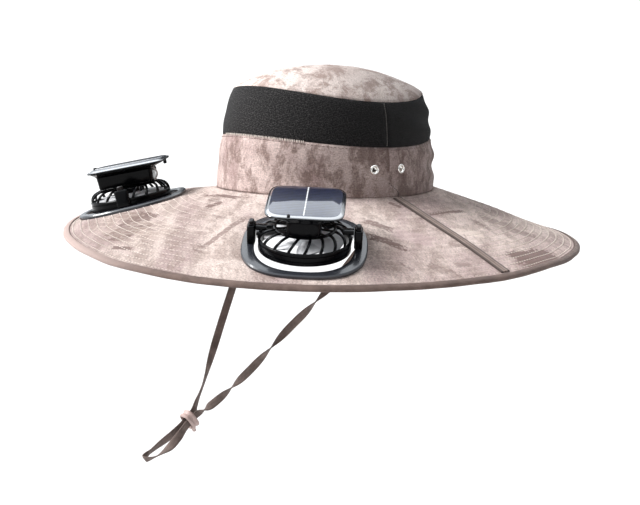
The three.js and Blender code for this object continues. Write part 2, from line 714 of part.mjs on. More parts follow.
addPiece("crown_tip", crownTip(), "tip");
const meshFoot = (theta) => lowerSeam(theta) + GAP / 2;
const meshTop = (theta) => upperSeam(theta) - GAP / 2;
addPiece("crown_mesh_band", crownBand(meshFoot, meshTop, 3), "net");
addPiece("crown_side_band", crownSideBand(), "camo");
addPiece("brim", brimShell(), "camo");
addPiece("brim_binding", brimBinding(), "binding");
for (const { name, side } of FANS) {
  addPiece("brim_tape_" + name, brimTape(side), "tape");
  for (const e of EYELETS) {
    addPiece("eyelet_" + name + "_" + e.name, eyelet(), "metal", eyeletFrame(side, e.turn));
  }
}
FANS.forEach(({ name, tip }, i) => {
  const base = FRAMES[i].matrix;
  const lift = new THREE.Matrix4().makeTranslation(0, 0, PIVOT_HEIGHT);
  const drop = new THREE.Matrix4().makeTranslation(0, 0, -PIVOT_HEIGHT);
  const tilt = new THREE.Matrix4().makeRotationY(tip * DEG);
  const head = base.clone().multiply(lift).multiply(tilt).multiply(drop);
  addPiece("fan_" + name + "_base_plate", basePlate(), "black", base);
  addPiece("fan_" + name + "_post_front", post(-1), "black", base);
  addPiece("fan_" + name + "_post_back", post(1), "black", base);
  addPiece("fan_" + name + "_cage", cage(), "black", head);
  addPiece("fan_" + name + "_rotor", rotor(), "pale", head);
  addPiece("fan_" + name + "_housing", housing(), "black", head);
  addPiece("fan_" + name + "_solar_panel", solarPanel(), "cell", head);
});
addPiece("chin_strap", chinStrap(), "strap");
addPiece("strap_toggle", strapToggle(), "toggle");

export default hat;
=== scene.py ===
# %% [markdown]
# # A sun hat with two solar fans
#
# This lesson dresses a imported model of a wide-brimmed cloth hat. The imported model gives every
# piece its place and size, and stays as it is. Here the cloth gets its swell, seams and stitches,
# the fans get their rounded mouldings, and every surface gets a finish made of shader nodes.
# The first step loads the imported model.

# %% Load the imported model
import math

import bmesh
import bpy
from mathutils import Matrix, Vector, noise


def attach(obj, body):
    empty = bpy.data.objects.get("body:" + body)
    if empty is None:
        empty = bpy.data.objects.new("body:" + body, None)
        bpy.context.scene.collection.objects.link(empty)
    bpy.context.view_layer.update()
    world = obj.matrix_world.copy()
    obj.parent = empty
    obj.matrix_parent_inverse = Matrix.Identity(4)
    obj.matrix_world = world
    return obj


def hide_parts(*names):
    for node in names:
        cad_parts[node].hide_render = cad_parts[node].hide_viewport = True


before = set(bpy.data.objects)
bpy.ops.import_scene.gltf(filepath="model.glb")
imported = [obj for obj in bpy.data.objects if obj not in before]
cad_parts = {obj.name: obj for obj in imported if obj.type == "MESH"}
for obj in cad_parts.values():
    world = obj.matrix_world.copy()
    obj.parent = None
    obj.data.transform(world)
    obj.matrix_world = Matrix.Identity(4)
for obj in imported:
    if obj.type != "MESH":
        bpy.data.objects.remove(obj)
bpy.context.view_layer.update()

# %% [markdown]
# ## The camera
#
# The picture to match is 640 by 505 pixels. Its viewpoint stands to the front left of the hat, a
# little above the brim, about a metre away with a long lens. A camera is three directions and a
# place: to the right, up, and back towards the viewer. Building those three by hand keeps the
# small lean of the picture, which a plain look-at would lose.

# %% Camera
def stand_at(place, right, up, out):
    """The matrix that carries the origin to place, and x, y and z to the three directions."""
    return Matrix.Translation(place) @ Matrix((right, up, out)).transposed().to_4x4()


VIEW_AZIMUTH, VIEW_RISE, VIEW_LEAN = (math.radians(a) for a in (47.16, 8.40, -1.19))
VIEW_DISTANCE = 1.100
toward = Vector((
    math.sin(VIEW_AZIMUTH) * math.cos(VIEW_RISE),
    -math.cos(VIEW_AZIMUTH) * math.cos(VIEW_RISE),
    math.sin(VIEW_RISE),
))
level_right = Vector((math.cos(VIEW_AZIMUTH), math.sin(VIEW_AZIMUTH), 0))
level_up = toward.cross(level_right)
view_right = level_right * math.cos(VIEW_LEAN) - level_up * math.sin(VIEW_LEAN)
view_up = level_right * math.sin(VIEW_LEAN) + level_up * math.cos(VIEW_LEAN)
look_at = level_right * -0.00436 + Vector((0, 0, -0.0575))
eye = look_at + toward * VIEW_DISTANCE

lens = bpy.data.cameras.new("studio_camera")
lens.sensor_fit, lens.sensor_width, lens.lens = "HORIZONTAL", 36.0, 72.27
lens.clip_start, lens.clip_end = 0.01, 100.0
camera = bpy.data.objects.new("studio_camera", lens)
bpy.context.scene.collection.objects.link(camera)
camera.matrix_world = stand_at(eye, view_right, view_up, toward)
bpy.context.scene.camera = camera
print("camera stands", [round(c, 3) for c in eye])

# %% [markdown]
# ## Two helpers that every soft and moulded piece uses
#
# Most pieces of this hat are a flat grid that has been bent: cloth bands bent round a head, a
# ribbon bent along a line, a moulded rim bent round a circle. So one helper starts from
# create_grid, notes each corner's flat size in a UV map in metres, moves the points to their
# place, and welds the edges that meet. The second helper turns the result into an object with
# smooth faces and crisp folds.

# %% Bend a grid, and make an object of it
TAU = math.tau


def signed_power(value, power):
    """A value's size raised to a power, with its sign kept."""
    return math.copysign(abs(value) ** power, value)


def ease(t):
    """0 below 0, 1 above 1, smooth between."""
    t = max(0.0, min(1.0, t))
    return t * t * (3 - 2 * t)


def bend_grid(columns, rows, place, flat):
    """A welded grid. place(u, v) gives each point, flat(u, v) its spot on the cut cloth, in metres."""
    bm = bmesh.new()
    bmesh.ops.create_grid(bm, x_segments=columns, y_segments=rows, size=0.5)
    chart = bm.loops.layers.uv.new("metres")
    for face in bm.faces:
        for corner in face.loops:
            corner[chart].uv = flat(corner.vert.co.x + 0.5, corner.vert.co.y + 0.5)
    for vert in bm.verts:
        vert.co = place(vert.co.x + 0.5, vert.co.y + 0.5)
    bmesh.ops.remove_doubles(bm, verts=bm.verts, dist=2e-6)
    return bm


def face_outward(bm, outward):
    """Turns every face so that the sheet's normals agree with outward(point)."""
    bmesh.ops.recalc_face_normals(bm, faces=bm.faces)
    agree = sum(f.normal.dot(outward(f.calc_center_median())) * f.calc_area() for f in bm.faces)
    if agree < 0:
        bmesh.ops.reverse_faces(bm, faces=bm.faces)


def close_holes(bm):
    """Caps every open rim and turns the closed shape's faces outward."""
    rims = [e for e in bm.edges if e.is_boundary]
    if rims:
        bmesh.ops.holes_fill(bm, edges=rims, sides=0)
    bmesh.ops.recalc_face_normals(bm, faces=bm.faces)


def to_piece(bm, name, material, fold=38.0):
    """Writes the mesh to an object at the origin, smooth but for folds sharper than fold degrees."""
    for face in bm.faces:
        face.smooth = True
    limit = math.radians(fold)
    for edge in bm.edges:
        edge.smooth = len(edge.link_faces) != 2 or edge.calc_face_angle(0.0) < limit
    mesh = bpy.data.meshes.new(name)
    bm.to_mesh(mesh)
    bm.free()
    piece = bpy.data.objects.new(name, mesh)
    bpy.context.scene.collection.objects.link(piece)
    for m in material if isinstance(material, (list, tuple)) else [material]:
        mesh.materials.append(m)
    return piece


def soften_edges(piece, width, segments=3, angle=35.0):
    """A Bevel modifier for moulded plastic and metal."""
    bevel = piece.modifiers.new("soft_edges", "BEVEL")
    bevel.width, bevel.segments, bevel.profile = width, segments, 0.5
    bevel.limit_method, bevel.angle_limit = "ANGLE", math.radians(angle)
    bevel.harden_normals = False
    return piece


def thicken(piece, thickness, inner_face_finish=None):
    """A Solidify modifier: a sheet gets its wall on the side away from its normals.

    The last argument gives what the inner face is made of, where it isn't the cloth itself; on the
    crown it is a dark painted shade."""
    wall = piece.modifiers.new("wall", "SOLIDIFY")
    wall.thickness, wall.offset = thickness, -1.0
    if inner_face_finish:
        piece.data.materials.append(inner_face_finish)
        wall.material_offset = 1
    return piece


# %% [markdown]
# ## Node helpers
#
# A finish is a small net of nodes. Two short helpers put a node down with its sockets filled, and
# mix two colours, so that each material below reads as a list of what its surface shows.

# %% Short words for shader nodes
def srgb(red, green, blue):
    """A colour picked on a screen, 0 to 255, as the linear light that a shader works in."""
    def linear(c):
        c /= 255.0
        return c / 12.92 if c <= 0.04045 else ((c + 0.055) / 1.055) ** 2.4
    return (linear(red), linear(green), linear(blue), 1.0)


def fill(tree, node, values):
    """Links or sets a node's inputs. values holds pairs of an input and what goes into it."""
    for key, value in values:
        if isinstance(value, bpy.types.NodeSocket):
            tree.links.new(value, node.inputs[key])
        elif value is not None:
            node.inputs[key].default_value = value


def feed(tree, node, **sockets):
    """Fills a node's inputs by name, with _ for a space."""
    fill(tree, node, ((key.replace("_", " "), value) for key, value in sockets.items()))


def put(tree, kind, props=None, places=(), **sockets):
    """One node. places fills its inputs by order, sockets by name."""
    made = tree.nodes.new("ShaderNode" + kind)
    for name, value in (props or {}).items():
        setattr(made, name, value)
    fill(tree, made, enumerate(places))
    feed(tree, made, **sockets)
    return made


def calc(tree, operation, *values, clamp=False):
    """A Math node's result."""
    return put(tree, "Math", {"operation": operation, "use_clamp": clamp}, values).outputs[0]


def times(tree, first, *others):
    """Values multiplied together."""
    for other in others:
        first = calc(tree, "MULTIPLY", first, other)
    return first


def vector_calc(tree, operation, *vectors):
    """A Vector Math node's result, which is a number for a dot product and a vector otherwise."""
    made = put(tree, "VectorMath", {"operation": operation}, vectors)
    return made.outputs["Value" if operation == "DOT_PRODUCT" else "Vector"]


def axes_of(tree, vector):
    """A vector's x, y and z."""
    return put(tree, "SeparateXYZ", {}, (vector,)).outputs


def grey(tree, value):
    """A value as an even grey."""
    return put(tree, "CombineColor", {}, (value,) * 3).outputs[0]


def blend(tree, share, first, second, way="MIX"):
    """Two colours mixed by share."""
    made = tree.nodes.new("ShaderNodeMix")
    made.data_type, made.blend_type = "RGBA", way
    fill(tree, made, ((0, share), (6, first), (7, second)))
    return made.outputs[2]


def step(tree, value, low, high):
    """0 below low, 1 above high, smooth between."""
    made = put(tree, "MapRange", {"interpolation_type": "SMOOTHSTEP"},
               Value=value, From_Min=low, From_Max=high)
    return made.outputs[0]


def stretch(tree, vector, x, y, z=1.0, turn=0.0, shift=(0, 0, 0)):
    """A vector scaled, turned about z and moved."""
    return put(tree, "Mapping", {}, Vector=vector, Location=shift,
               Rotation=(0, 0, math.radians(turn)), Scale=(x, y, z)).outputs[0]


def speckle(tree, vector, scale, detail=2.0, roughness=0.5, distortion=0.0):
    """A noise value from 0 to 1."""
    return put(tree, "TexNoise", {"noise_dimensions": "3D"}, Vector=vector, Scale=scale,
               Detail=detail, Roughness=roughness, Distortion=distortion).outputs[0]


def new_group(name, inputs, outputs):
    """An empty node group with named sockets: (name, kind, default)."""
    tree = bpy.data.node_groups.new(name, "ShaderNodeTree")
    for title, kind, default in inputs:
        socket = tree.interface.new_socket(title, in_out="INPUT", socket_type="NodeSocket" + kind)
        if default is not None:
            socket.default_value = default
    for title, kind in outputs:
        tree.interface.new_socket(title, in_out="OUTPUT", socket_type="NodeSocket" + kind)
    return tree, tree.nodes.new("NodeGroupInput").outputs, tree.nodes.new("NodeGroupOutput").inputs


def use_group(tree, group, **sockets):
    """A group placed in a material with its own values."""
    made = tree.nodes.new("ShaderNodeGroup")
    made.node_tree = group
    feed(tree, made, **sockets)
    return made.outputs


def new_finish(name):
    """A material with its node tree, its shader, and the two vectors that patterns are laid by."""
    finish = bpy.data.materials.new(name)
    finish.use_nodes = True
    tree = finish.node_tree
    shader = tree.nodes["Principled BSDF"]
    where = tree.nodes.new("ShaderNodeTexCoord")
    chart = tree.nodes.new("ShaderNodeUVMap")
    chart.uv_map = "metres"
    return finish, tree, shader, where.outputs["Object"], chart.outputs[0]


def relief(tree, shader, height, distance, strength=1.0):
    """A Bump node from a height to the shader's normal."""
    bump = put(tree, "Bump", {}, Height=height, Distance=distance, Strength=strength)
    tree.links.new(bump.outputs[0], shader.inputs["Normal"])


# %% [markdown]
# ## Weave, print and wear as node groups
#
# Cotton twill shows fine slanting ribs. Narrow tapes show ribs across their length. The printed
# camouflage is a pale ground with soft mauve clouds, harder taupe patches with stepped edges, and
# a few dark strokes. Some larger strokes stand where the picture has them: each is one ragged
# rectangle on the cloth, given by its centre, its half sizes and its turn. Plastic and metal carry
# dust and fine scuffs. Several finishes need each of these, so each is one node group with named
# inputs.

# %% Twill group
twill, given, result = new_group(
    "twill", [("Vector", "Vector", None), ("Rib", "Float", 900.0)], [("Height", "Float"), ("Shade", "Float")])
axes = axes_of(twill, given["Vector"])
slant = calc(twill, "ADD", axes[0], times(twill, axes[1], 0.8))
rib = calc(twill, "PINGPONG", times(twill, slant, given["Rib"]), 0.5)
thread = calc(twill, "PINGPONG", times(twill, given["Rib"], 1.9, axes[1]), 0.5)
fuzz = speckle(twill, given["Vector"], 2600.0, 3.0, 0.7)
height = calc(twill, "ADD", calc(twill, "ADD", rib, times(twill, thread, 0.6)), times(twill, fuzz, 0.5))
twill.links.new(height, result["Height"])
twill.links.new(calc(twill, "MULTIPLY_ADD", height, 0.16, 0.89), result["Shade"])

# %% Ribbed tape group
ribbed, given, result = new_group(
    "ribbed_tape",
    [("Vector", "Vector", None), ("Rib", "Float", 900.0), ("Slant", "Float", 0.0)],
    [("Height", "Float"), ("Shade", "Float")])
axes = axes_of(ribbed, given["Vector"])
run = calc(ribbed, "ADD", axes[0], times(ribbed, axes[1], given["Slant"]))
rib = calc(ribbed, "PINGPONG", times(ribbed, run, given["Rib"]), 0.5)
warp = calc(ribbed, "PINGPONG", times(ribbed, given["Rib"], 0.8, axes[1]), 0.5)
fuzz = speckle(ribbed, given["Vector"], 1800.0, 3.0, 0.7)
height = calc(ribbed, "ADD", calc(ribbed, "MULTIPLY_ADD", rib, 1.2, times(ribbed, warp, 0.8)),
              times(ribbed, fuzz, 0.5))
ribbed.links.new(height, result["Height"])
ribbed.links.new(calc(ribbed, "MULTIPLY_ADD", height, 0.22, 0.80), result["Shade"])

# %% Camouflage print group
camo, given, result = new_group(
    "camo_print",
    [("Vector", "Vector", None), ("Brush", "Vector", None), ("Pale", "Color", None),
     ("Mauve", "Color", None), ("Taupe", "Color", None), ("Dark", "Color", None),
     ("Contrast", "Float", 1.0), ("Digital", "Float", 1.0)],
    [("Color", "Color")])
brush, force, digital = given["Brush"], given["Contrast"], given["Digital"]
wander = speckle(camo, stretch(camo, brush, 1, 1, turn=25), 19.0, 3.0, 0.55, 0.7)
ground = blend(camo, step(camo, wander, 0.38, 0.62), given["Pale"], given["Mauve"])
mottle = step(camo, speckle(camo, brush, 78.0, 5.0, 0.68, 0.4), 0.43, 0.60)
cloudy = blend(camo, times(camo, mottle, 0.62, force), ground, given["Taupe"])
bleach_noise = speckle(camo, stretch(camo, brush, 1, 1, shift=(3, 5, 0)), 56.0, 4.0, 0.65)
cloudy = blend(camo, times(camo, step(camo, bleach_noise, 0.52, 0.68), 0.6), cloudy, given["Pale"])
flecks = step(camo, speckle(camo, brush, 240.0, 3.0, 0.7, 0.5), 0.56, 0.66)
cloudy = blend(camo, times(camo, flecks, 0.5), cloudy, given["Pale"])
pit_noise = speckle(camo, stretch(camo, brush, 1, 1, shift=(7, 2, 0)), 200.0, 3.0, 0.7, 0.5)
pits = step(camo, pit_noise, 0.57, 0.68)
cloudy = blend(camo, times(camo, pits, 0.42, force), cloudy, given["Taupe"])
PRINT_CELL = (0.0019, 0.0013, 0.001)
stepped = vector_calc(camo, "SNAP", given["Vector"], PRINT_CELL)
block_place = stretch(camo, stepped, 1.0, 1.6, turn=-14, shift=(0.3, 0.7, 0))
block = step(camo, speckle(camo, block_place, 46.0, 4.0, 0.62, 0.2), 0.57, 0.60)
stroke_place = stretch(camo, stepped, 1.0, 3.6, turn=12, shift=(4.1, 2.2, 0))
stroke = step(camo, speckle(camo, stroke_place, 19.0, 4.0, 0.6, 0.2), 0.625, 0.65)
inked = blend(camo, times(camo, block, 0.38, digital), cloudy, given["Taupe"])
inked = blend(camo, times(camo, stroke, 0.5, digital), inked, given["Dark"])
grain = speckle(camo, given["Vector"], 820.0, 2.0, 0.8)
fibre = speckle(camo, stretch(camo, given["Vector"], 1.0, 2.6, turn=6), 330.0, 3.0, 0.7)
level = calc(camo, "ADD", calc(camo, "MULTIPLY_ADD", grain, 1.5, -0.30), times(camo, fibre, 1.1))
camo.links.new(blend(camo, 1.0, inked, grey(camo, level), "MULTIPLY"), result["Color"])

# %% Placed mark group
mark, given, result = new_group(
    "placed_mark",
    [("Vector", "Vector", None), ("Centre", "Vector", None), ("Half", "Vector", None),
     ("Turn", "Float", 0.0)],
    [("Mask", "Float")])
RAGGED_CELL = (0.0012, 0.0012, 0.001)
offset = vector_calc(mark, "SUBTRACT", given["Vector"], given["Centre"])
turned = put(mark, "VectorRotate", {"rotation_type": "Z_AXIS"}, Vector=offset, Angle=given["Turn"]).outputs[0]
share = vector_calc(mark, "DIVIDE", turned, given["Half"])
apart = axes_of(mark, vector_calc(mark, "ABSOLUTE", share))
stepped = vector_calc(mark, "SNAP", given["Vector"], RAGGED_CELL)
ragged = calc(mark, "MULTIPLY_ADD", speckle(mark, stepped, 300.0, 3.0, 0.6), 1.5, -0.75)
reach = calc(mark, "ADD", calc(mark, "MAXIMUM", apart[0], apart[1]), ragged)
mark.links.new(calc(mark, "SUBTRACT", 1.0, step(mark, reach, 0.84, 0.98)), result["Mask"])

# %% Dust and scuffs group
scuffs, given, result = new_group(
    "dust_and_scuffs", [("Vector", "Vector", None), ("Amount", "Float", 0.2)],
    [("Dust", "Float"), ("Roughness", "Float"), ("Height", "Float")])
smear = speckle(scuffs, given["Vector"], 60.0, 6.0, 0.65)
fleck = step(scuffs, speckle(scuffs, given["Vector"], 1500.0, 2.0, 0.6), 0.66, 0.74)
line = speckle(scuffs, stretch(scuffs, given["Vector"], 40.0, 900.0, 300.0, 24), 1.0, 2.0, 0.5)
scratch = step(scuffs, line, 0.70, 0.76)
dust = times(scuffs, calc(scuffs, "ADD", times(scuffs, smear, 0.4), fleck), given["Amount"])
rough = times(scuffs, calc(scuffs, "ADD", smear, scratch), given["Amount"])
scuffs.links.new(dust, result["Dust"])
scuffs.links.new(rough, result["Roughness"])
scuffs.links.new(calc(scuffs, "ADD", times(scuffs, scratch, -1.0), smear), result["Height"])
print("node groups:", [g.name for g in bpy.data.node_groups])

# %% [markdown]
# ## The finishes
#
# Each material below is one real surface of the hat. The colours were read from the picture, then
# adjusted until the lit cloth agreed with it. The cottons, the net and the binding are painted
# lighter or darker by how far to the picture's right a point stands: this is painted light and
# shade for the way the key light falls on the two flanks. Values that are the same all over a
# surface sit on the shader's own sockets, so they survive an export.

# %% Printed cotton
PICTURE_RIGHT = (0.68, 0.733, 0.0)


def printed_cotton(name, pale, mauve, taupe, dark, brush=(1.0, 1.0), contrast=1.0, digital=1.0, marks=(),
                   painted_side_light=(1.0, 1.0, 0.2), toward_viewer=False):
    """Matt twill with the printed pattern. marks: centre, half sizes, turn, colour, strength.

    The flank levels are painted light and shade: the cloth's lightness on the picture's left flank
    and on its right one, and how far from the middle each is reached."""
    finish, tree, shader, place, chart = new_finish(name)
    turned = stretch(tree, chart, 1, 1, turn=-47) if toward_viewer else chart
    colour = use_group(tree, camo, Vector=chart, Brush=stretch(tree, turned, *brush), Pale=pale, Mauve=mauve,
                       Taupe=taupe, Dark=dark, Contrast=contrast, Digital=digital)["Color"]
    for centre, half, turn, ink, strength in marks:
        spot = use_group(tree, mark, Vector=chart, Centre=(*centre, 0), Half=(*half, 1),
                         Turn=-math.radians(turn))["Mask"]
        colour = blend(tree, times(tree, spot, strength), colour, ink)
    weave = use_group(tree, twill, Vector=chart, Rib=1050.0)
    left_level, right_level, reach = painted_side_light
    # Painted light and shade: the cloth is painted lighter or darker towards the picture's right flank, for
    # the way the key light falls on each flank.
    flank = step(tree, vector_calc(tree, "DOT_PRODUCT", place, PICTURE_RIGHT), -reach, reach)
    side_light_level = calc(tree, "MULTIPLY_ADD", flank, right_level - left_level, left_level)
    shade = grey(tree, times(tree, weave["Shade"], side_light_level))
    feed(tree, shader, Base_Color=blend(tree, 1.0, colour, shade, "MULTIPLY"), Roughness=0.93,
         Specular_IOR_Level=0.2, Sheen_Weight=0.10, Sheen_Roughness=0.5)
    crease = speckle(tree, chart, 110.0, 4.0, 0.6)
    relief(tree, shader, calc(tree, "MULTIPLY_ADD", crease, 4.0, weave["Height"]), 0.00018, 0.8)
    return finish, tree, shader, chart


SMOKE, COFFEE = srgb(126, 108, 103), srgb(102, 82, 77)
CREAM, MAUVE = srgb(214, 200, 190), srgb(174, 152, 152)
# Centre and half sizes in metres on the brim's chart, turn in degrees, colour, strength.
BRIM_MARKS = [
    ((0.1895, 0.0470), (0.0290, 0.0130), 93, COFFEE, 0.95),
    ((0.1127, 0.0273), (0.0250, 0.0022), 95, COFFEE, 0.85),
    ((0.1180, -0.0562), (0.0115, 0.0052), 35, SMOKE, 0.9),
    ((0.1389, -0.0679), (0.0145, 0.0046), 37, COFFEE, 0.85),
    ((0.0510, -0.1500), (0.0220, 0.0032), 96, SMOKE, 0.8),
    ((-0.0040, -0.2042), (0.0105, 0.0026), 22, COFFEE, 0.8),
    ((-0.0060, -0.1080), (0.0200, 0.0024), 3, COFFEE, 0.85),
    ((0.0034, -0.1235), (0.0070, 0.0036), 66, COFFEE, 0.75),
    ((0.0948, -0.0141), (0.0060, 0.0026), 24, COFFEE, 0.8),
    ((0.1794, -0.0565), (0.0080, 0.0046), 20, SMOKE, 0.6),
    ((0.1830, -0.0330), (0.0070, 0.0032), 75, SMOKE, 0.6),
    ((0.1284, 0.0714), (0.0150, 0.0080), 60, SMOKE, 0.7),
    ((0.1462, 0.0795), (0.0140, 0.0070), 60, SMOKE, 0.7),
    ((0.1628, -0.0100), (0.0110, 0.0028), 60, SMOKE, 0.6),
    ((0.0254, -0.1680), (0.0170, 0.0090), 15, SMOKE, 0.35),
    ((0.1451, 0.0127), (0.0180, 0.0060), 70, CREAM, 0.5),
    ((0.1400, -0.0400), (0.0160, 0.0090), 45, MAUVE, 0.5),
    ((-0.0367, -0.1848), (0.0081, 0.0108), 14, COFFEE, 0.9),
    ((-0.0231, -0.1825), (0.0073, 0.0103), 16, COFFEE, 0.9),
    ((-0.0441, -0.1685), (0.0105, 0.0076), 9, COFFEE, 0.8),
    ((-0.0233, -0.1712), (0.0068, 0.0059), 15, COFFEE, 0.85),
    ((-0.0427, -0.1567), (0.0127, 0.0073), 7, COFFEE, 0.8),
    ((-0.0225, -0.1952), (0.0084, 0.0049), 17, COFFEE, 0.8),
    ((-0.0613, -0.1611), (0.0086, 0.0062), 3, COFFEE, 0.6),
]
# The brim is painted lighter towards the picture's right: painted light where the key light falls thinly.
brim_cotton, tree, shader, chart = printed_cotton(
    "brim_cotton", srgb(198, 183, 176), srgb(166, 147, 144), srgb(136, 119, 112), srgb(106, 88, 83),
    brush=(1.0, 0.5), marks=BRIM_MARKS, painted_side_light=(1.10, 1.38, 0.16), toward_viewer=True)
cells = put(tree, "TexBrick", {}, Vector=stretch(tree, chart, 1, 1, turn=-16), Color1=SMOKE,
            Color2=srgb(180, 162, 152), Mortar=srgb(226, 212, 202), Scale=1.0, Mortar_Size=0.0006,
            Mortar_Smooth=0.3, Bias=0.1, Brick_Width=0.0125, Row_Height=0.0062).outputs["Color"]
patch = use_group(tree, mark, Vector=chart, Centre=(-0.0320, -0.1770, 0), Half=(0.046, 0.020, 1),
                  Turn=0.12)["Mask"]
below = shader.inputs["Base Color"].links[0].from_socket
gaps = step(tree, speckle(tree, chart, 48.0, 3.0, 0.6), 0.30, 0.50)
feed(tree, shader, Base_Color=blend(tree, times(tree, patch, 0.6, gaps, 0.72), below, cells))

# The band and the tip are painted darker towards the picture's right: painted shade away from the key light.
band_cotton = printed_cotton(
    "band_cotton", srgb(210, 190, 184), srgb(170, 147, 143), srgb(128, 107, 100), srgb(104, 84, 78),
    brush=(1.0, 0.6), contrast=1.35, digital=0.25, painted_side_light=(1.04, 0.56, 0.075))[0]
tip_cotton = printed_cotton(
    "tip_cotton", srgb(226, 213, 207), srgb(194, 176, 170), srgb(158, 138, 130), srgb(128, 108, 101),
    brush=(0.8, 0.5), contrast=1.5, digital=0.3, painted_side_light=(1.22, 0.60, 0.07), toward_viewer=True)[0]

# %% Charcoal net
net_finish, tree, shader, place, chart = new_finish("charcoal_net")
NET_PER_METRE = (900.0, 760.0)
cells = put(tree, "TexVoronoi", {"voronoi_dimensions": "2D", "feature": "F1"},
            Vector=stretch(tree, chart, *NET_PER_METRE, turn=8), Scale=1.0,
            Randomness=0.55).outputs["Distance"]
cord_mask = step(tree, cells, 0.22, 0.50)
cloudy = speckle(tree, chart, 24.0, 4.0, 0.6)
clump = step(tree, speckle(tree, stretch(tree, chart, 1.0, 1.5, turn=12), 520.0, 3.0, 0.8), 0.36, 0.64)
cord_colour = blend(tree, cloudy, srgb(24, 23, 23), srgb(44, 43, 43))
cord_colour = blend(tree, times(tree, clump, 0.75), cord_colour, srgb(90, 87, 87))
# Painted shade: the holes between the cords are near black, for the shaded inside seen through them.
through = blend(tree, clump, srgb(7, 7, 7), srgb(20, 20, 20))
net_colour = blend(tree, cord_mask, through, cord_colour)
# Painted shade: the net is painted darker towards the picture's right flank, away from the key light.
flank = step(tree, vector_calc(tree, "DOT_PRODUCT", place, PICTURE_RIGHT), -0.07, 0.05)
dim = grey(tree, calc(tree, "MULTIPLY_ADD", flank, -0.66, 0.92))
feed(tree, shader, Base_Color=blend(tree, 1.0, net_colour, dim, "MULTIPLY"), Roughness=0.75,
     Specular_IOR_Level=0.1, Sheen_Weight=0.03)
relief(tree, shader, calc(tree, "MULTIPLY_ADD", clump, 1.2, cord_mask), 0.0003, 0.9)


# %% Woven tapes and cords
def woven_tape(name, light, dark, rib, slant, edge_dark=0.0, half_width=0.0035, painted_lit_colour=None):
    """A narrow woven tape. Its chart runs along x in metres and across y, with 0 in the middle.

    edge_dark: how dark its rims and its middle line are; the dark rims are painted shade along the raised
    edges. The colour given for the picture's left is painted light, paler where the key light falls."""
    finish, tree, shader, place, chart = new_finish(name)
    weave = use_group(tree, ribbed, Vector=chart, Rib=rib, Slant=slant)
    worn = speckle(tree, chart, 70.0, 5.0, 0.65)
    colour = blend(tree, step(tree, worn, 0.3, 0.7), dark, light)
    if painted_lit_colour:
        # Painted light: paler towards the picture's left, where the key light falls.
        leftward = vector_calc(tree, "DOT_PRODUCT", place, tuple(-c for c in PICTURE_RIGHT))
        colour = blend(tree, times(tree, step(tree, leftward, 0.11, 0.21), 0.9), colour, painted_lit_colour)
    colour = blend(tree, 1.0, colour, grey(tree, weave["Shade"]), "MULTIPLY")
    if edge_dark:
        # Painted shade: the rims are darker along the raised tape's edges; a dark line runs down the middle.
        across = calc(tree, "ABSOLUTE", axes_of(tree, chart)[1])
        rim = times(tree, step(tree, across, half_width * 0.48, half_width * 0.62), edge_dark)
        middle = calc(tree, "SUBTRACT", 0.55, times(tree, step(tree, across, 0.0004, 0.0008), 0.55))
        colour = blend(tree, calc(tree, "MAXIMUM", rim, middle), colour, srgb(48, 35, 31))
    feed(tree, shader, Base_Color=colour, Roughness=0.8, Specular_IOR_Level=0.35, Sheen_Weight=0.12)
    relief(tree, shader, weave["Height"], 0.00022, 0.9)
    return finish


# The binding's paler colour at the picture's left is painted light.
binding_tape = woven_tape("binding_tape", srgb(118, 98, 90), srgb(88, 71, 64), 1100.0, 0.6,
                          painted_lit_colour=srgb(196, 174, 167))
webbing = woven_tape("webbing", srgb(160, 140, 131), srgb(126, 107, 98), 900.0, 0.0,
                     edge_dark=0.9, half_width=0.0046)
strap_weave = woven_tape("strap_weave", srgb(120, 105, 99), srgb(86, 74, 69), 620.0, 1.0)
# Painted shade: a dark inner face for the crown, so that its inside, seen from below and through the eyelet
# holes, is dark.
inner_shade_finish = woven_tape("crown_inner_shade", srgb(52, 44, 42), srgb(38, 32, 31), 700.0, 0.8)
thread_finish, dark_thread, grey_thread, shade_thread = (
    woven_tape(name, light, dark, 2400.0, 1.5) for name, light, dark in (
        ("cream_thread", srgb(255, 243, 234), srgb(246, 232, 222)),
        ("dark_thread", srgb(118, 98, 92), srgb(92, 74, 68)),
        ("grey_thread", srgb(128, 124, 120), srgb(104, 100, 96)),
        ("shade_thread", srgb(56, 43, 39), srgb(42, 32, 29)),
    ))

# %% Moulded plastics
def moulded(name, colour, roughness, specular=0.5, coat=0.0, dust=0.25, tint=srgb(150, 148, 150)):
    """Moulded plastic. dust: how much of it lies there, in the colour tint."""
    finish, tree, shader, place, _ = new_finish(name)
    marks = use_group(tree, scuffs, Vector=place, Amount=dust)
    rough = calc(tree, "ADD", times(tree, marks["Roughness"], 0.5), roughness, clamp=True)
    feed(tree, shader, Base_Color=blend(tree, marks["Dust"], colour, tint), Roughness=rough,
         Specular_IOR_Level=specular, Coat_Weight=coat, Coat_Roughness=0.08, Coat_IOR=1.65)
    relief(tree, shader, marks["Height"], 0.00004, 0.5)
    return finish


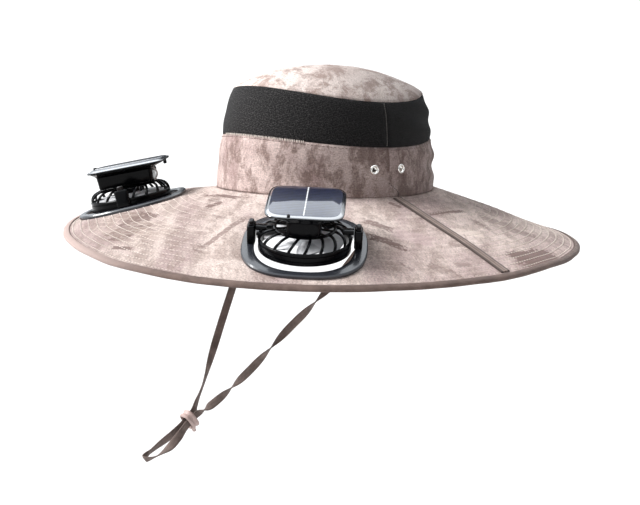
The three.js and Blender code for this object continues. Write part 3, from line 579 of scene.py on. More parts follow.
black_gloss = moulded("black_gloss", srgb(4, 4, 6), 0.17, 0.10, 0.0, 0.03, srgb(40, 40, 44))
plate_gloss = moulded("plate_gloss", srgb(42, 44, 50), 0.24, 0.4, 0.35, 0.05, srgb(90, 90, 96))
pale_blade = moulded("pale_blade", srgb(232, 233, 236), 0.42, 0.4, 0.0, 0.1, srgb(190, 190, 192))
knob_brown = moulded("knob_brown", srgb(17, 11, 12), 0.30, 0.25, 0.0, 0.05, srgb(60, 50, 48))
bead_satin = moulded("bead_satin", srgb(178, 155, 149), 0.42, 0.5, 0.0, 0.3, srgb(206, 187, 181))
resin_edge = moulded("resin_edge", srgb(30, 35, 48), 0.06, 1.0, 1.0, 0.02)
resin_edge.node_tree.nodes["Principled BSDF"].inputs["IOR"].default_value = 2.3
grey_lip = moulded("grey_lip", srgb(30, 31, 35), 0.12, 0.6, 0.6, 0.03)
wire_sleeve = moulded("wire_sleeve", srgb(214, 212, 210), 0.3, 0.5, 0.2, 0.1)
silver_ink = moulded("silver_ink", srgb(236, 238, 240), 0.4, 0.5, 0.3, 0.1)

# %% Nickel
nickel, tree, shader, place, _ = new_finish("nickel")
marks = use_group(tree, scuffs, Vector=place, Amount=0.4)
feed(tree, shader, Base_Color=blend(tree, marks["Dust"], srgb(236, 233, 228), srgb(150, 140, 130)),
     Roughness=calc(tree, "MULTIPLY_ADD", marks["Roughness"], 0.4, 0.12, clamp=True), Metallic=1.0)
relief(tree, shader, marks["Height"], 0.00003, 0.4)
print("finishes:", [m.name for m in bpy.data.materials if m.use_nodes])

# %% [markdown]
# ## The chin strap
#
# One flat woven cord runs from the left side of the crown down through the slider, round the
# hanging end and back up to the right side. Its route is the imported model's own route. A flat
# cord never hangs quite flat: it rolls over itself on the way down, so the picture shows it now
# broad, now on its edge. The ribbon is a grid bent round a slim oval section, and a roll angle
# turns that section as it travels.

# %% Route of the strap
STRAP_WIDTH, STRAP_THICKNESS = 0.0065, 0.0012
STRAP_STATIONS = [
    (0.084, 0, -0.008), (0.072, -0.024, -0.039), (0.060, -0.044, -0.069), (0.0506, -0.0604, -0.089),
    (0.0417, -0.0754, -0.1062), (0.0336, -0.0895, -0.1235), (0.0246, -0.1045, -0.142),
    (0.015, -0.119, -0.1585), (0.008, -0.131, -0.1698), (0.0025, -0.1385, -0.1756),
    (0.0021, -0.1485, -0.1834), (0.0044, -0.158, -0.1905), (0.0064, -0.170, -0.1975),
    (0.0046, -0.181, -0.202),
]
STRAP_LOOP_END = (0, -0.1865, -0.2036)


def smooth_line(stations, per_leg):
    """A line through the stations that bends without overshooting where they stand close."""
    ends = [stations[0] * 2 - stations[1], *stations, stations[-1] * 2 - stations[-2]]
    line = []
    for a, b, c, d in zip(ends, ends[1:], ends[2:], ends[3:]):
        k = [0.0]
        for p, q in ((a, b), (b, c), (c, d)):
            k.append(k[-1] + math.sqrt((q - p).length))
        for i in range(per_leg):
            t = k[1] + (k[2] - k[1]) * i / per_leg
            ab = a.lerp(b, (t - k[0]) / (k[1] - k[0]))
            bc = b.lerp(c, (t - k[1]) / (k[2] - k[1]))
            cd = c.lerp(d, (t - k[2]) / (k[3] - k[2]))
            near = ab.lerp(bc, (t - k[0]) / (k[2] - k[0]))
            far = bc.lerp(cd, (t - k[1]) / (k[3] - k[1]))
            line.append(near.lerp(far, (t - k[1]) / (k[2] - k[1])))
    return [*line, stations[-1].copy()]


def evenly(line, count):
    """The same line with its points evenly spaced, and its length."""
    runs = [0.0]
    for p, q in zip(line, line[1:]):
        runs.append(runs[-1] + (q - p).length)
    made, i = [], 0
    for n in range(count + 1):
        at = runs[-1] * n / count
        while i < len(line) - 2 and runs[i + 1] < at:
            i += 1
        share = (at - runs[i]) / max(runs[i + 1] - runs[i], 1e-9)
        made.append(line[i].lerp(line[i + 1], min(1.0, share)))
    return made, runs[-1]


way_down = [Vector(p) for p in STRAP_STATIONS]
way_up = [Vector((-p[0], p[1], p[2])) for p in reversed(STRAP_STATIONS)]
STRAP_STEPS, POINTS_PER_LEG = 360, 24
strap_route = smooth_line([*way_down, Vector(STRAP_LOOP_END), *way_up], POINTS_PER_LEG)
strap_line, strap_length = evenly(strap_route, STRAP_STEPS)
print("strap length", round(strap_length, 4), "m")

# %% Ribbon along the route
# Share along the strap against roll in degrees. The picture sees it broad at 16 on the way down, at
# 114 on the way up, and at each half turn from there.
STRAP_ROLL = [(0.0, 16), (0.132, 16), (0.218, 196), (0.308, 376), (0.372, 556), (0.40, 704), (0.42, 724),
              (0.45, 764), (0.483, 833), (0.50, 862), (0.52, 928), (0.56, 905), (0.60, 872), (0.64, 913),
              (0.74, 838), (1.0, 834)]


def read_off(table, at):
    """The value of a table of pairs at a place between them, eased."""
    for (a, x), (b, y) in zip(table, table[1:]):
        if at <= b:
            return x + (y - x) * ease((at - a) / (b - a))
    return table[-1][1]


def strap_frame(i):
    """The strap's own directions at one station: along it, across its width and through it."""
    ahead = (strap_line[min(i + 1, STRAP_STEPS)] - strap_line[max(i - 1, 0)]).normalized()
    side = ahead.cross(Vector((0, 0, 1))).normalized()
    wide = side.cross(ahead).normalized()
    roll = Matrix.Rotation(math.radians(read_off(STRAP_ROLL, i / STRAP_STEPS)), 3, ahead)
    return ahead, roll @ wide, roll @ side


def strap_point(u, v):
    i, a = round(v * STRAP_STEPS), u * TAU
    _, wide, thin = strap_frame(i)
    c, s = math.cos(a), math.sin(a)
    across = signed_power(c, 0.55) * STRAP_WIDTH / 2
    through = signed_power(s, 0.7) * STRAP_THICKNESS / 2
    return strap_line[i] + wide * across + thin * through


def strap_chart(u, v):
    return (v * strap_length, math.cos(u * TAU) * STRAP_WIDTH / 2)


bm = bend_grid(16, STRAP_STEPS, strap_point, strap_chart)
close_holes(bm)
strap = to_piece(bm, "chin_strap_cord", strap_weave, 60)
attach(strap, "hat")
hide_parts("chin_strap")
print("strap faces", len(strap.data.polygons))

# %% [markdown]
# ## The slider
#
# A small satin bead with a slot that both strands pass through. Spinning a profile would give a
# round bead with a round hole. The real one is a soft oval with a groove round its waist and a
# small nub at one end, so stacked loops of a rounded rectangle make its outside, and the same
# loops, smaller, run back through the slot.

# %% Stacked loops, and the slider
def rounded_loop(half_x, half_y, power, z, shift=0.0):
    """A rounded rectangle as a function of angle. power 2 is an ellipse, 8 nearly square."""
    def at(angle):
        x = signed_power(math.cos(angle), 2 / power) * half_x
        y = signed_power(math.sin(angle), 2 / power) * half_y
        return Vector((shift + x, y, z))
    return at


def stack_loops(rows, count, ring=False):
    """Rounded rectangles joined one above the other. rows holds rounded_loop's values for each.

    ring: the last one meets the first. Otherwise both ends are capped."""
    loops = [rounded_loop(*row) for row in rows]
    if ring:
        loops.append(loops[0])
    legs = len(loops) - 1

    def point(u, v):
        return loops[round(v * legs)]((u + 0.5 / count) * TAU)
    bm = bend_grid(count, legs, point, lambda u, v: (u, v))
    close_holes(bm)
    return bm


def chart_by_place(bm):
    """The UV chart becomes each corner's own x and y, in metres, before the piece is turned into place."""
    chart = bm.loops.layers.uv["metres"]
    for face in bm.faces:
        for corner in face.loops:
            corner[chart].uv = (corner.vert.co.x, corner.vert.co.y)


def join_into(target, *others):
    """Adds other meshes to the first one."""
    for other in others:
        spare = bpy.data.meshes.new("spare")
        other.to_mesh(spare)
        other.free()
        target.from_mesh(spare)
        bpy.data.meshes.remove(spare)
    return target


# Half width, half height, power, and place along the strap.
BEAD_ROWS = [
    (0.0045, 0.0056, 6, -0.0030), (0.0053, 0.0074, 3, -0.0036), (0.0061, 0.0085, 2.5, -0.0029),
    (0.0061, 0.0085, 2.5, -0.0015), (0.0054, 0.0076, 2.5, -0.0005), (0.0054, 0.0076, 2.5, 0.0005),
    (0.0061, 0.0085, 2.5, 0.0015), (0.0061, 0.0085, 2.5, 0.0029), (0.0053, 0.0074, 3, 0.0036),
    (0.0045, 0.0056, 6, 0.0030), (0.0045, 0.0056, 6, 0.0),
]
NUB_ROWS = [(0.0010, 0.0014, 3, -0.0012), (0.0015, 0.0021, 3, -0.0007), (0.0015, 0.0021, 3, 0.0007),
            (0.0010, 0.0014, 3, 0.0012)]
SLIDER_PLACE, NUB_PLACE = (0, -0.1435, -0.1796), (0, -0.0094, 0.0018)
bead = stack_loops(BEAD_ROWS, 40, ring=True)
nub = stack_loops(NUB_ROWS, 16)
nub.transform(Matrix.Translation(NUB_PLACE))
join_into(bead, nub)
down = Vector((0, -8, -6)).normalized()
upward = down.cross(Vector((1, 0, 0))).normalized()
bead.transform(stand_at(SLIDER_PLACE, Vector((1, 0, 0)), upward, down))
slider = to_piece(bead, "strap_slider", bead_satin, 50)
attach(slider, "hat")
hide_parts("strap_toggle")

# %% [markdown]
# ## The brim
#
# The brim is one wide ring of doubled cotton, stitched round and round in close rows, so that the
# cloth dips a little along every row and puffs between them. It falls away from the crown and
# lies flat under each fan. A grid bent into a ring, with its rows set to the stitching, gives
# real dips that catch the light at a low angle, which a bump alone would not.

# %% Shape of the brim
HEAD_HALF_X, HEAD_HALF_Y, BRIM_HALF_X, BRIM_HALF_Y = 0.084, 0.099, 0.209, 0.225
BRIM_DROP, BRIM_CLOTH, FOOT_SAG = 0.0423, 0.0018, 0.0025
BINDING_REACH, BINDING_PROUD = 0.0038, 0.002
FAN_ANGLE, PLATE_HALF_LONG, PLATE_HALF_WIDE = math.radians(44.4), 0.045, 0.046
PLATE_TO_BINDING, PLATE_MARGIN = 0.00794, 0.003
BRIM_SLOPE = math.hypot(BRIM_HALF_X - HEAD_HALF_X, BRIM_DROP)
FAN_PLACE = 1 - (PLATE_HALF_LONG + BINDING_REACH + PLATE_TO_BINDING) / BRIM_SLOPE
CLOTH_EDGE = 1 - BINDING_PROUD / (BRIM_HALF_X - HEAD_HALF_X)
BINDING_START = CLOTH_EDGE - BINDING_REACH / (BRIM_HALF_X - HEAD_HALF_X)


def foot_rise(theta):
    """How far the crown's foot dips at its two sides."""
    return -FOOT_SAG * math.sin(theta) ** 2


def brim_halves(t):
    """The brim's two half widths at a share of the way out."""
    return HEAD_HALF_X + (BRIM_HALF_X - HEAD_HALF_X) * t, HEAD_HALF_Y + (BRIM_HALF_Y - HEAD_HALF_Y) * t


def brim_rest(theta, t):
    """The top of the brim, unpressed. theta is 0 at the front, and t runs from the crown to the edge."""
    half_x, half_y = brim_halves(t)
    swing = -0.0007 * math.cos(theta) - 0.0084 * math.sin(theta)
    fold = -0.0016 * math.cos(2 * theta) - 0.0032 * math.sin(2 * theta)
    fall = (-BRIM_DROP + swing + fold) * t + foot_rise(theta) * (1 - t) ** 2
    return Vector((half_x * math.sin(theta), -half_y * math.cos(theta), fall))


def fan_frame(side):
    """A fan's own directions on the brim: x out down the slope, y round the hat, z off the cloth."""
    theta, h = FAN_ANGLE * side, 0.02
    centre = brim_rest(theta, FAN_PLACE)
    outward = (brim_rest(theta, FAN_PLACE + h) - brim_rest(theta, FAN_PLACE - h)).normalized()
    along = brim_rest(theta + h, FAN_PLACE) - brim_rest(theta - h, FAN_PLACE)
    normal = outward.cross(along).normalized()
    if normal.z < 0:
        normal = -normal
    return stand_at(centre, outward, normal.cross(outward), normal)


FAN_FRAMES = {"left": fan_frame(1), "right": fan_frame(-1)}
FAN_INVERSES = [m.inverted() for m in FAN_FRAMES.values()]


def off_plate(inverse, point, margin):
    """0 under one base plate and a margin round it, rising to 1 a short way from there."""
    q = inverse @ point
    across, along = abs(q.y) / (PLATE_HALF_WIDE + margin), abs(q.x) / (PLATE_HALF_LONG + margin)
    return ease(((across ** 3 + along ** 3) ** (1 / 3) - 1) / 0.5)


def plate_share(point, margin):
    """1 under a base plate, falling to 0 a short way from it."""
    return max(1 - off_plate(inverse, point, margin) for inverse in FAN_INVERSES)


def brim_surface(theta, t):
    """The top of the brim cloth, before stitching."""
    p = brim_rest(theta, t)
    for matrix, inverse in zip(FAN_FRAMES.values(), FAN_INVERSES):
        weight = (1 - off_plate(inverse, p, PLATE_MARGIN)) * ease((0.95 - t) / 0.07)
        normal, origin = matrix.col[2].xyz, matrix.translation
        flat = origin.z - (normal.x * (p.x - origin.x) + normal.y * (p.y - origin.y)) / normal.z
        p.z += (flat - p.z) * weight
    return p


def brim_sway(theta, t):
    """Soft waves of cloth that isn't pressed flat."""
    p = brim_rest(theta, t)
    wave = noise.noise(Vector((p.x * 22, p.y * 22, 3.0))) * 0.0011
    return wave * ease(t / 0.25) * (1 - plate_share(p, 0.008))


print("fan frames", {k: [round(c, 4) for c in m.translation] for k, m in FAN_FRAMES.items()})

# %% Stitched cloth of the brim
STITCH_ROWS = 19
ROW_FIRST, TUCK = 0.036, 0.002
ROW_PITCH = (BINDING_START - 0.022 - ROW_FIRST) / (STITCH_ROWS - 1)
PER_ROW = 5
BRIM_COLUMNS, BRIM_WALL = 320, BRIM_CLOTH - 0.0002
brim_rows = [-0.016, 0.0, ROW_FIRST * 0.5]
brim_rows += [ROW_FIRST + ROW_PITCH * k / PER_ROW for k in range((STITCH_ROWS - 1) * PER_ROW + 1)]
brim_rows += [BINDING_START - 0.011, BINDING_START, (BINDING_START + CLOTH_EDGE) / 2, CLOTH_EDGE]


def stitched(theta, t):
    """Brim cloth with the dip of the nearest stitch row, and small puckers along it. Where t is
    below 0 the cloth tucks in under the crown."""
    p = brim_surface(theta, max(t, 0.0))
    if t < 0:
        p += Vector((-TUCK * math.sin(theta), TUCK * math.cos(theta), 0))
    row = (t - ROW_FIRST) / ROW_PITCH
    pressed = plate_share(p, 0.001)
    off = (row - round(row)) * ROW_PITCH * BRIM_SLOPE
    inside = ease((t - ROW_FIRST * 0.4) / 0.02) * ease((BINDING_START - 0.008 - t) / 0.01)
    pucker = noise.noise(Vector((p.x * 160, p.y * 160, round(row) * 0.7)))
    dip = (-0.00034 - 0.00016 * pucker) * math.exp(-((off / 0.0013) ** 2)) + 0.00012 * pucker
    p.z += brim_sway(theta, t) + dip * inside * (1 - 0.75 * pressed)
    return p


def row_share(v):
    """The share of the way out of the grid row at v."""
    return brim_rows[round(v * (len(brim_rows) - 1))]


def cut_near(bm, inverse, spot, reach, place, normal):
    """Cuts the faces within reach of a spot along a plane. The spot is in the inverse's own frame."""
    near = {f for f in bm.faces if (inverse @ f.calc_center_median() - spot).length < reach}
    parts = near | {e for f in near for e in f.edges} | {v for f in near for v in f.verts}
    bmesh.ops.bisect_plane(bm, geom=list(parts), plane_co=place, plane_no=normal, dist=1e-6)


def delete_faces(bm, unwanted):
    """Deletes the faces whose middle is unwanted."""
    bmesh.ops.delete(bm, geom=[f for f in bm.faces if unwanted(f.calc_center_median())], context="FACES")


HOLE_HALF_LONG, HOLE_HALF_WIDE, HOLE_POWER, HOLE_CUTS = 0.0398, 0.0373, 2.5, 28
bm = bend_grid(BRIM_COLUMNS, len(brim_rows) - 1, lambda u, v: stitched(u * TAU, row_share(v)),
               lambda u, v: brim_rest(u * TAU, row_share(v)).xy)
for matrix in FAN_FRAMES.values():
    inverse = matrix.inverted()
    for k in range(HOLE_CUTS):
        a = TAU * (k + 0.5) / HOLE_CUTS
        rim = Vector((signed_power(math.cos(a), 2 / HOLE_POWER) * HOLE_HALF_LONG,
                      signed_power(math.sin(a), 2 / HOLE_POWER) * HOLE_HALF_WIDE, 0))
        slope = Vector((signed_power(rim.x / HOLE_HALF_LONG, HOLE_POWER - 1) / HOLE_HALF_LONG,
                        signed_power(rim.y / HOLE_HALF_WIDE, HOLE_POWER - 1) / HOLE_HALF_WIDE,
                        0)).normalized()
        cut_near(bm, inverse, rim, 0.009, matrix @ rim, (matrix.to_3x3() @ slope).normalized())

    def in_hole(middle):
        q = inverse @ middle
        reach = abs(q.x / HOLE_HALF_LONG) ** HOLE_POWER + abs(q.y / HOLE_HALF_WIDE) ** HOLE_POWER
        return abs(q.z) < 0.01 and reach < 1.0
    delete_faces(bm, in_hole)
face_outward(bm, lambda p: Vector((0, 0, 1)))
brim = to_piece(bm, "brim_cloth", brim_cotton, 50)
thicken(brim, BRIM_WALL)
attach(brim, "hat")
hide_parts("brim")
print("brim faces", len(brim.data.polygons), "row pitch mm", round(ROW_PITCH * BRIM_SLOPE * 1000, 2))

# %% [markdown]
# ## Binding and side tapes
#
# A bias tape is folded over the brim's edge. Under tension it rolls into a soft tube with a dark
# line where it lies on the cloth. Its section is a rounded U, drawn once as a short list of
# distances and swept round the hat as a bent grid. On each side a strip of webbing covers the
# join of the brim's two halves, from the crown to the binding.

# %% Binding
BINDING_SECTION = [
    (-0.0039, 0.00025), (-0.0039, 0.0006), (-0.0036, 0.00082), (-0.0028, 0.00095), (-0.0016, 0.00098),
    (-0.0004, 0.0009), (0.0004, 0.0006), (0.0009, 0.0001), (0.0011, -0.0006), (0.0010, -0.0014),
    (0.0006, -0.0021), (-0.0003, -0.0025), (-0.0017, -0.0027), (-0.0028, -0.00262), (-0.0036, -0.00245),
    (-0.0039, -0.0022), (-0.0039, -0.0019), (-0.0022, -0.0019), (0.0003, -0.0018), (0.00035, -0.0008),
    (0.0003, 0.00024), (-0.0022, 0.00025),
]


def binding_point(u, v):
    """Distances past the cloth's edge and above the cloth, swept round the hat."""
    theta = u * TAU
    edge = brim_surface(theta, CLOTH_EDGE)
    out = (edge - brim_surface(theta, BINDING_START)).normalized()
    e, z = BINDING_SECTION[round(v * len(BINDING_SECTION)) % len(BINDING_SECTION)]
    wobble = noise.noise(Vector((edge.x * 70, edge.y * 70, e * 300 + 9))) * 0.00022
    edge.z += brim_sway(theta, CLOTH_EDGE)
    return edge + out * (e + wobble) + Vector((0, 0, z + (wobble if z > 0.001 else 0)))


BRIM_ROUND, BINDING_GIRTH = 1.365, 0.030
bm = bend_grid(420, len(BINDING_SECTION), binding_point, lambda u, v: (u * BRIM_ROUND, v * BINDING_GIRTH))
bmesh.ops.recalc_face_normals(bm, faces=bm.faces)
binding = to_piece(bm, "brim_edge_binding", binding_tape, 70)
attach(binding, "hat")
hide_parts("brim_binding")
print("binding faces", len(binding.data.polygons))

# %% Side tapes
TAPE_HALF, TAPE_THICK, TAPE_TURN = 0.0047, 0.0010, math.radians(88.4)


def tape_mesh(side):
    """A strip of webbing with soft rims, down the brim at one side."""
    section = [(-1.0, 0.1), (-0.97, 0.75), (-0.86, 1.0), (-0.4, 1.06), (0, 1.02), (0.4, 1.06), (0.86, 1.0),
               (0.97, 0.75), (1.0, 0.1), (0.9, 0.0), (0, 0.0), (-0.9, 0.0)]
    length, steps = 0.125, 90

    def point(u, v):
        across, high = section[round(u * len(section)) % len(section)]
        t = 0.02 + (BINDING_START - 0.03) * v
        theta = (TAPE_TURN + across * TAPE_HALF / brim_halves(t)[1]) * side
        p = brim_surface(theta, t)
        p.z += brim_sway(TAPE_TURN * side, t) + 0.00045 + high * TAPE_THICK
        p.z += noise.noise(Vector((v * 30, side, across))) * 0.0001
        return p

    def chart(u, v):
        return (v * length, section[round(u * len(section)) % len(section)][0] * TAPE_HALF)
    bm = bend_grid(len(section), steps, point, chart)
    close_holes(bm)
    return bm


for name, side in (("left", 1), ("right", -1)):
    tape = to_piece(tape_mesh(side), f"side_tape_{name}", webbing, 60)
    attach(tape, "hat")
    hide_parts(f"brim_tape_{name}")

# %% [markdown]
# ## The crown
#
# Three cloths make the crown: a printed band at the foot, a wide charcoal net above it, and a
# printed tip. Where two of them are sewn together the seam pulls the cloth in, and each piece
# swells between its seams. Small puckers stand off the stitching. The printed band and the net
# are each joined at the sides, which leaves an upright ditch there. The inner face of both is
# painted dark, a painted shade for the inside of the crown, which shows from below.

# %% Shape of the crown
# CROWN_GIRTH: share of the height against share of the head opening. TIP_CURVE: share of the rise
# from the upper seam to the top against the same.
CROWN_HEIGHT, CROWN_CLOTH, SEAM_GAP = 0.1015, 0.0013, 0.00015
CROWN_GIRTH = [(0, 1.0), (0.059, 0.985), (0.157, 0.972), (0.276, 0.97), (0.374, 0.957), (0.433, 0.945),
               (0.532, 0.933), (0.651, 0.907), (0.749, 0.878), (0.817, 0.85)]
TIP_GIRTH = 0.865
TIP_CURVE = [(0, TIP_GIRTH), (0.16, 0.815), (0.35, 0.72), (0.58, 0.585),
             (0.79, 0.43), (0.93, 0.25), (1.0, 0.0)]
SIDE_SEAM = math.radians(84.5)


def lower_seam(theta):
    """The height where the printed band meets the net."""
    return CROWN_HEIGHT * (0.409 + 0.039 * math.cos(2 * theta))


def upper_seam(theta):
    """The height where the net meets the tip."""
    return CROWN_HEIGHT * (0.774 + 0.054 * math.cos(2 * theta))


def straight(table, at):
    """The value of a table of pairs at a place between them, on straight lines."""
    for (a, x), (b, y) in zip(table, table[1:]):
        if at <= b:
            return x + (y - x) * max(0.0, (at - a) / (b - a))
    return table[-1][1]


def girth(z):
    """The crown's share of the head opening at a height."""
    share = z / CROWN_HEIGHT
    return sum(straight(CROWN_GIRTH, share + d) for d in (-0.03, 0.0, 0.03)) / 3


def on_oval(theta, share, out, z):
    """A point on the head opening's oval, taken by share, and then moved outward and up."""
    half_x, half_y = HEAD_HALF_X * share + out, HEAD_HALF_Y * share + out
    return Vector((half_x * math.sin(theta), -half_y * math.cos(theta), z))


def on_crown(theta, z, out):
    return on_oval(theta, girth(z), out, z)


def band_foot(theta):
    return 0.0003 + foot_rise(theta)


def seam_ditch(theta):
    """The upright side seams: how far the cloth dips there."""
    off = min(abs(theta - s) for s in (SIDE_SEAM, TAU - SIDE_SEAM)) * HEAD_HALF_X
    return -0.0007 * math.exp(-((off / 0.0011) ** 2)) + 0.0003 * math.exp(-(((off - 0.003) / 0.002) ** 2))


def swell(theta, z, low, high, fullness, pucker):
    """How far a band stands out between its two seams."""
    x, y = math.sin(theta) * 0.085, -math.cos(theta) * 0.1
    from_low, from_high = max(z - low, 0.0), max(high - z, 0.0)
    full = fullness * (1 - math.exp(-min(from_low, from_high) / 0.0032)) - 0.0005
    wrinkle = noise.noise(Vector((x * 150, y * 150, z * 34)))
    near_low, near_high = math.exp(-from_low / 0.0065), math.exp(-from_high / 0.0065)
    lumps = noise.noise(Vector((x * 26, y * 26, z * 30 + 5))) * 0.0010 * (1 - max(near_low, near_high))
    slack = math.exp(-((theta % TAU - 2.30) / 0.55) ** 2) + 0.5 * math.exp(-((theta % TAU - 5.2) / 0.5) ** 2)
    wave = math.sin(z * 310 + theta * 5.0 + 2.2 * noise.noise(Vector((x * 20, y * 20, z * 12))))
    folds = 0.0012 * slack * wave * (1 - max(near_low, near_high))
    return full + pucker * wrinkle * (near_low + near_high) + lumps + folds


def even_theta(u):
    """Angles round the crown, closer together near the side seams."""
    return u * TAU - 0.022 * math.sin(2 * (u * TAU - SIDE_SEAM))


GIRTH_PER_TURN, BACK_SHIFT = 0.0915, (0.83, 0.31)


def band_mesh(columns, rows, low, high, fullness, pucker):
    """A cloth band between two seams. The back half is cut from another stretch of the cloth."""
    def point(u, v):
        theta = even_theta(u % 1.0)
        foot, head = low(theta), high(theta)
        z = foot + (head - foot) * v
        return on_crown(theta, z, swell(theta, z, foot, head, fullness, pucker) + seam_ditch(theta % TAU))
    bm = bend_grid(columns, rows, point, lambda u, v: (u, v))
    chart = bm.loops.layers.uv["metres"]
    for face in bm.faces:
        middle = face.calc_center_median()
        mid = math.atan2(middle.x, -middle.y) % TAU
        shift = BACK_SHIFT if SIDE_SEAM < mid < TAU - SIDE_SEAM else (0.0, 0.0)
        for corner in face.loops:
            p = corner.vert.co
            theta = math.atan2(p.x / HEAD_HALF_X, -p.y / HEAD_HALF_Y) % TAU
            if theta - mid > math.pi:
                theta -= TAU
            elif mid - theta > math.pi:
                theta += TAU
            corner[chart].uv = (theta * GIRTH_PER_TURN + shift[0], p.z + shift[1])
    face_outward(bm, lambda p: Vector((p.x, p.y, 0)))
    return bm


print("seam heights mm", [round(f(a) * 1000, 1) for f in (lower_seam, upper_seam) for a in (0, math.pi / 2)])

# %% Printed band at the foot, with the eyelet holes
EYELET_HEIGHT, EYELET_TURN, EYELET_HOLE, EYELET_CUTS = 0.0203, math.radians(8.3), 0.0026, 10


def eyelet_frame(side, turn):
    """An eyelet's place on the band: x round the crown, y up, z outward."""
    def at(more_turn, more_height):
        return on_crown((SIDE_SEAM + turn) * side + more_turn, EYELET_HEIGHT + more_height, 0.0)
    ahead = (at(0.02, 0) - at(-0.02, 0)).normalized()
    upward = (at(0, 0.001) - at(0, -0.001)).normalized()
    normal = ahead.cross(upward).normalized()
    return stand_at(at(0, 0), upward.cross(normal).normalized(), upward, normal)


EYELET_FRAMES = {
    (name, end): eyelet_frame(side, turn)
    for name, side in (("left", 1), ("right", -1))
    for end, turn in (("front", -EYELET_TURN), ("back", EYELET_TURN))
}
FOOT_SWELL, NET_SWELL = (0.0013, 0.0004), (0.0010, 0.00035)
bm = band_mesh(300, 24, band_foot, lambda a: lower_seam(a) - SEAM_GAP, *FOOT_SWELL)
for matrix in EYELET_FRAMES.values():
    inverse = matrix.inverted()
    for k in range(EYELET_CUTS):
        a = TAU * k / EYELET_CUTS
        way = Vector((math.cos(a), math.sin(a), 0))
        cut_near(bm, inverse, Vector(), 0.0065, matrix @ (way * EYELET_HOLE), matrix.to_3x3() @ way)

    def in_eyelet(middle):
        q = inverse @ middle
        return abs(q.z) < 0.004 and q.xy.length < EYELET_HOLE
    delete_faces(bm, in_eyelet)
side_band = to_piece(bm, "crown_foot_band", band_cotton, 60)
# Its inner face gets the painted shade finish.
thicken(side_band, CROWN_CLOTH, inner_shade_finish)
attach(side_band, "hat")
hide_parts("crown_side_band")
print("foot band faces", len(side_band.data.polygons))

# %% Net band
bm = band_mesh(260, 22, lambda a: lower_seam(a) + SEAM_GAP, lambda a: upper_seam(a) - SEAM_GAP, *NET_SWELL)
net_band = to_piece(bm, "crown_net_band", net_finish, 60)
thicken(net_band, CROWN_CLOTH, inner_shade_finish)
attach(net_band, "hat")
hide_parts("crown_mesh_band")

# %% Tip
TIP_ROWS = 44


def tip_point(u, v):
    """A point of the tip: u runs round it, and v from the upper seam to the top."""
    theta, reach = u * TAU, v ** 0.9
    foot = upper_seam(theta) + SEAM_GAP
    g = TIP_GIRTH * (1 - reach)
    table = [(1 - share / TIP_GIRTH, rise) for rise, share in TIP_CURVE]
    rise = sum(straight(table, max(0.0, min(1.0, reach + d))) for d in (-0.025, 0.0, 0.025)) / 3
    rise = max(0.0, rise - 0.012 * (1 - reach))
    z = foot + rise * (CROWN_HEIGHT - foot)
    g *= 1 + (girth(foot) / TIP_GIRTH - 1) * max(0.0, min(1.0, (g - 0.4) / (TIP_GIRTH - 0.4)))
    from_seam = reach * 0.09
    near = math.exp(-from_seam / 0.011)
    x, y = math.sin(theta) * 0.08, -math.cos(theta) * 0.09
    wrinkle = noise.noise(Vector((x * 95, y * 95, from_seam * 25))) * 0.0009 * near
    lumps = noise.noise(Vector((x * g * 30, y * g * 30, 7.0))) * 0.0012 * (1 - near) * (1 - 0.5 * reach)
    out = 0.0009 * (1 - math.exp(-from_seam / 0.003)) - 0.0005 + wrinkle
    return on_oval(theta, g, out * ease(g / 0.3), z + lumps + out * ease((0.86 - g) / 0.3))


bm = bend_grid(260, TIP_ROWS, tip_point, lambda u, v: (u, v))
chart = bm.loops.layers.uv["metres"]
for face in bm.faces:
    for corner in face.loops:
        p = corner.vert.co
        r = math.hypot(p.x, p.y)
        arc = r + max(0.0, 0.10 - p.z) * 0.8
        corner[chart].uv = (p.x * arc / max(r, 1e-6) + 2.0, p.y * arc / max(r, 1e-6))
face_outward(bm, lambda p: Vector((p.x, p.y, 0.06)))
tip = to_piece(bm, "crown_top_cloth", tip_cotton, 60)
thicken(tip, CROWN_CLOTH)
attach(tip, "hat")
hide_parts("crown_tip")
print("tip faces", len(tip.data.polygons))

# %% [markdown]
# ## Stitches
#
# A stitch is a short soft bead of thread. Thousands of them follow the rows on the brim, the
# seams of the crown, the tapes and the binding. Each is an icosphere with its twelve points,
# squeezed long and flat. Making them one at a time would be slow, because every operator looks
# at the whole mesh. So one stitch is duplicated until there are enough, each time doubling the
# lot, and then each copy is moved to its own place.

# %% Sow stitches
def sow_stitches(name, places, length, full, finish):
    """One mesh of stitches. places holds (point, along, off the cloth) and maybe how heavy it is."""
    bm = bmesh.new()
    bmesh.ops.create_icosphere(bm, subdivisions=1, radius=0.5)
    size = len(bm.verts)
    while len(bm.verts) < size * len(places):
        missing = size * len(places) - len(bm.verts)
        bm.verts.ensure_lookup_table()
        some = set(bm.verts[:min(missing, len(bm.verts))])
        joined = [part for parts in (bm.edges, bm.faces) for part in parts if part.verts[0] in some]
        bmesh.ops.duplicate(bm, geom=[*sorted(some, key=lambda v: v.index), *joined])
        bm.verts.index_update()
        bm.edges.index_update()
        bm.faces.index_update()
    chart = bm.loops.layers.uv.new("metres")
    bm.verts.ensure_lookup_table()
    for n, (point, along, off, *heavier) in enumerate(places):
        across = off.cross(along)
        width = full * (heavier[0] if heavier else 1.0)
        for vert in bm.verts[n * size:(n + 1) * size]:
            x, y, z = vert.co
            vert.co = point + along * (x * length) + across * (y * width) + off * (z * width * 0.7)
    for face in bm.faces:
        for corner in face.loops:
            p = corner.vert.co
            corner[chart].uv = (p.x + p.z, p.y)
    bmesh.ops.recalc_face_normals(bm, faces=bm.faces)
    piece = to_piece(bm, name, finish, 80)
    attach(piece, "hat")
    return piece


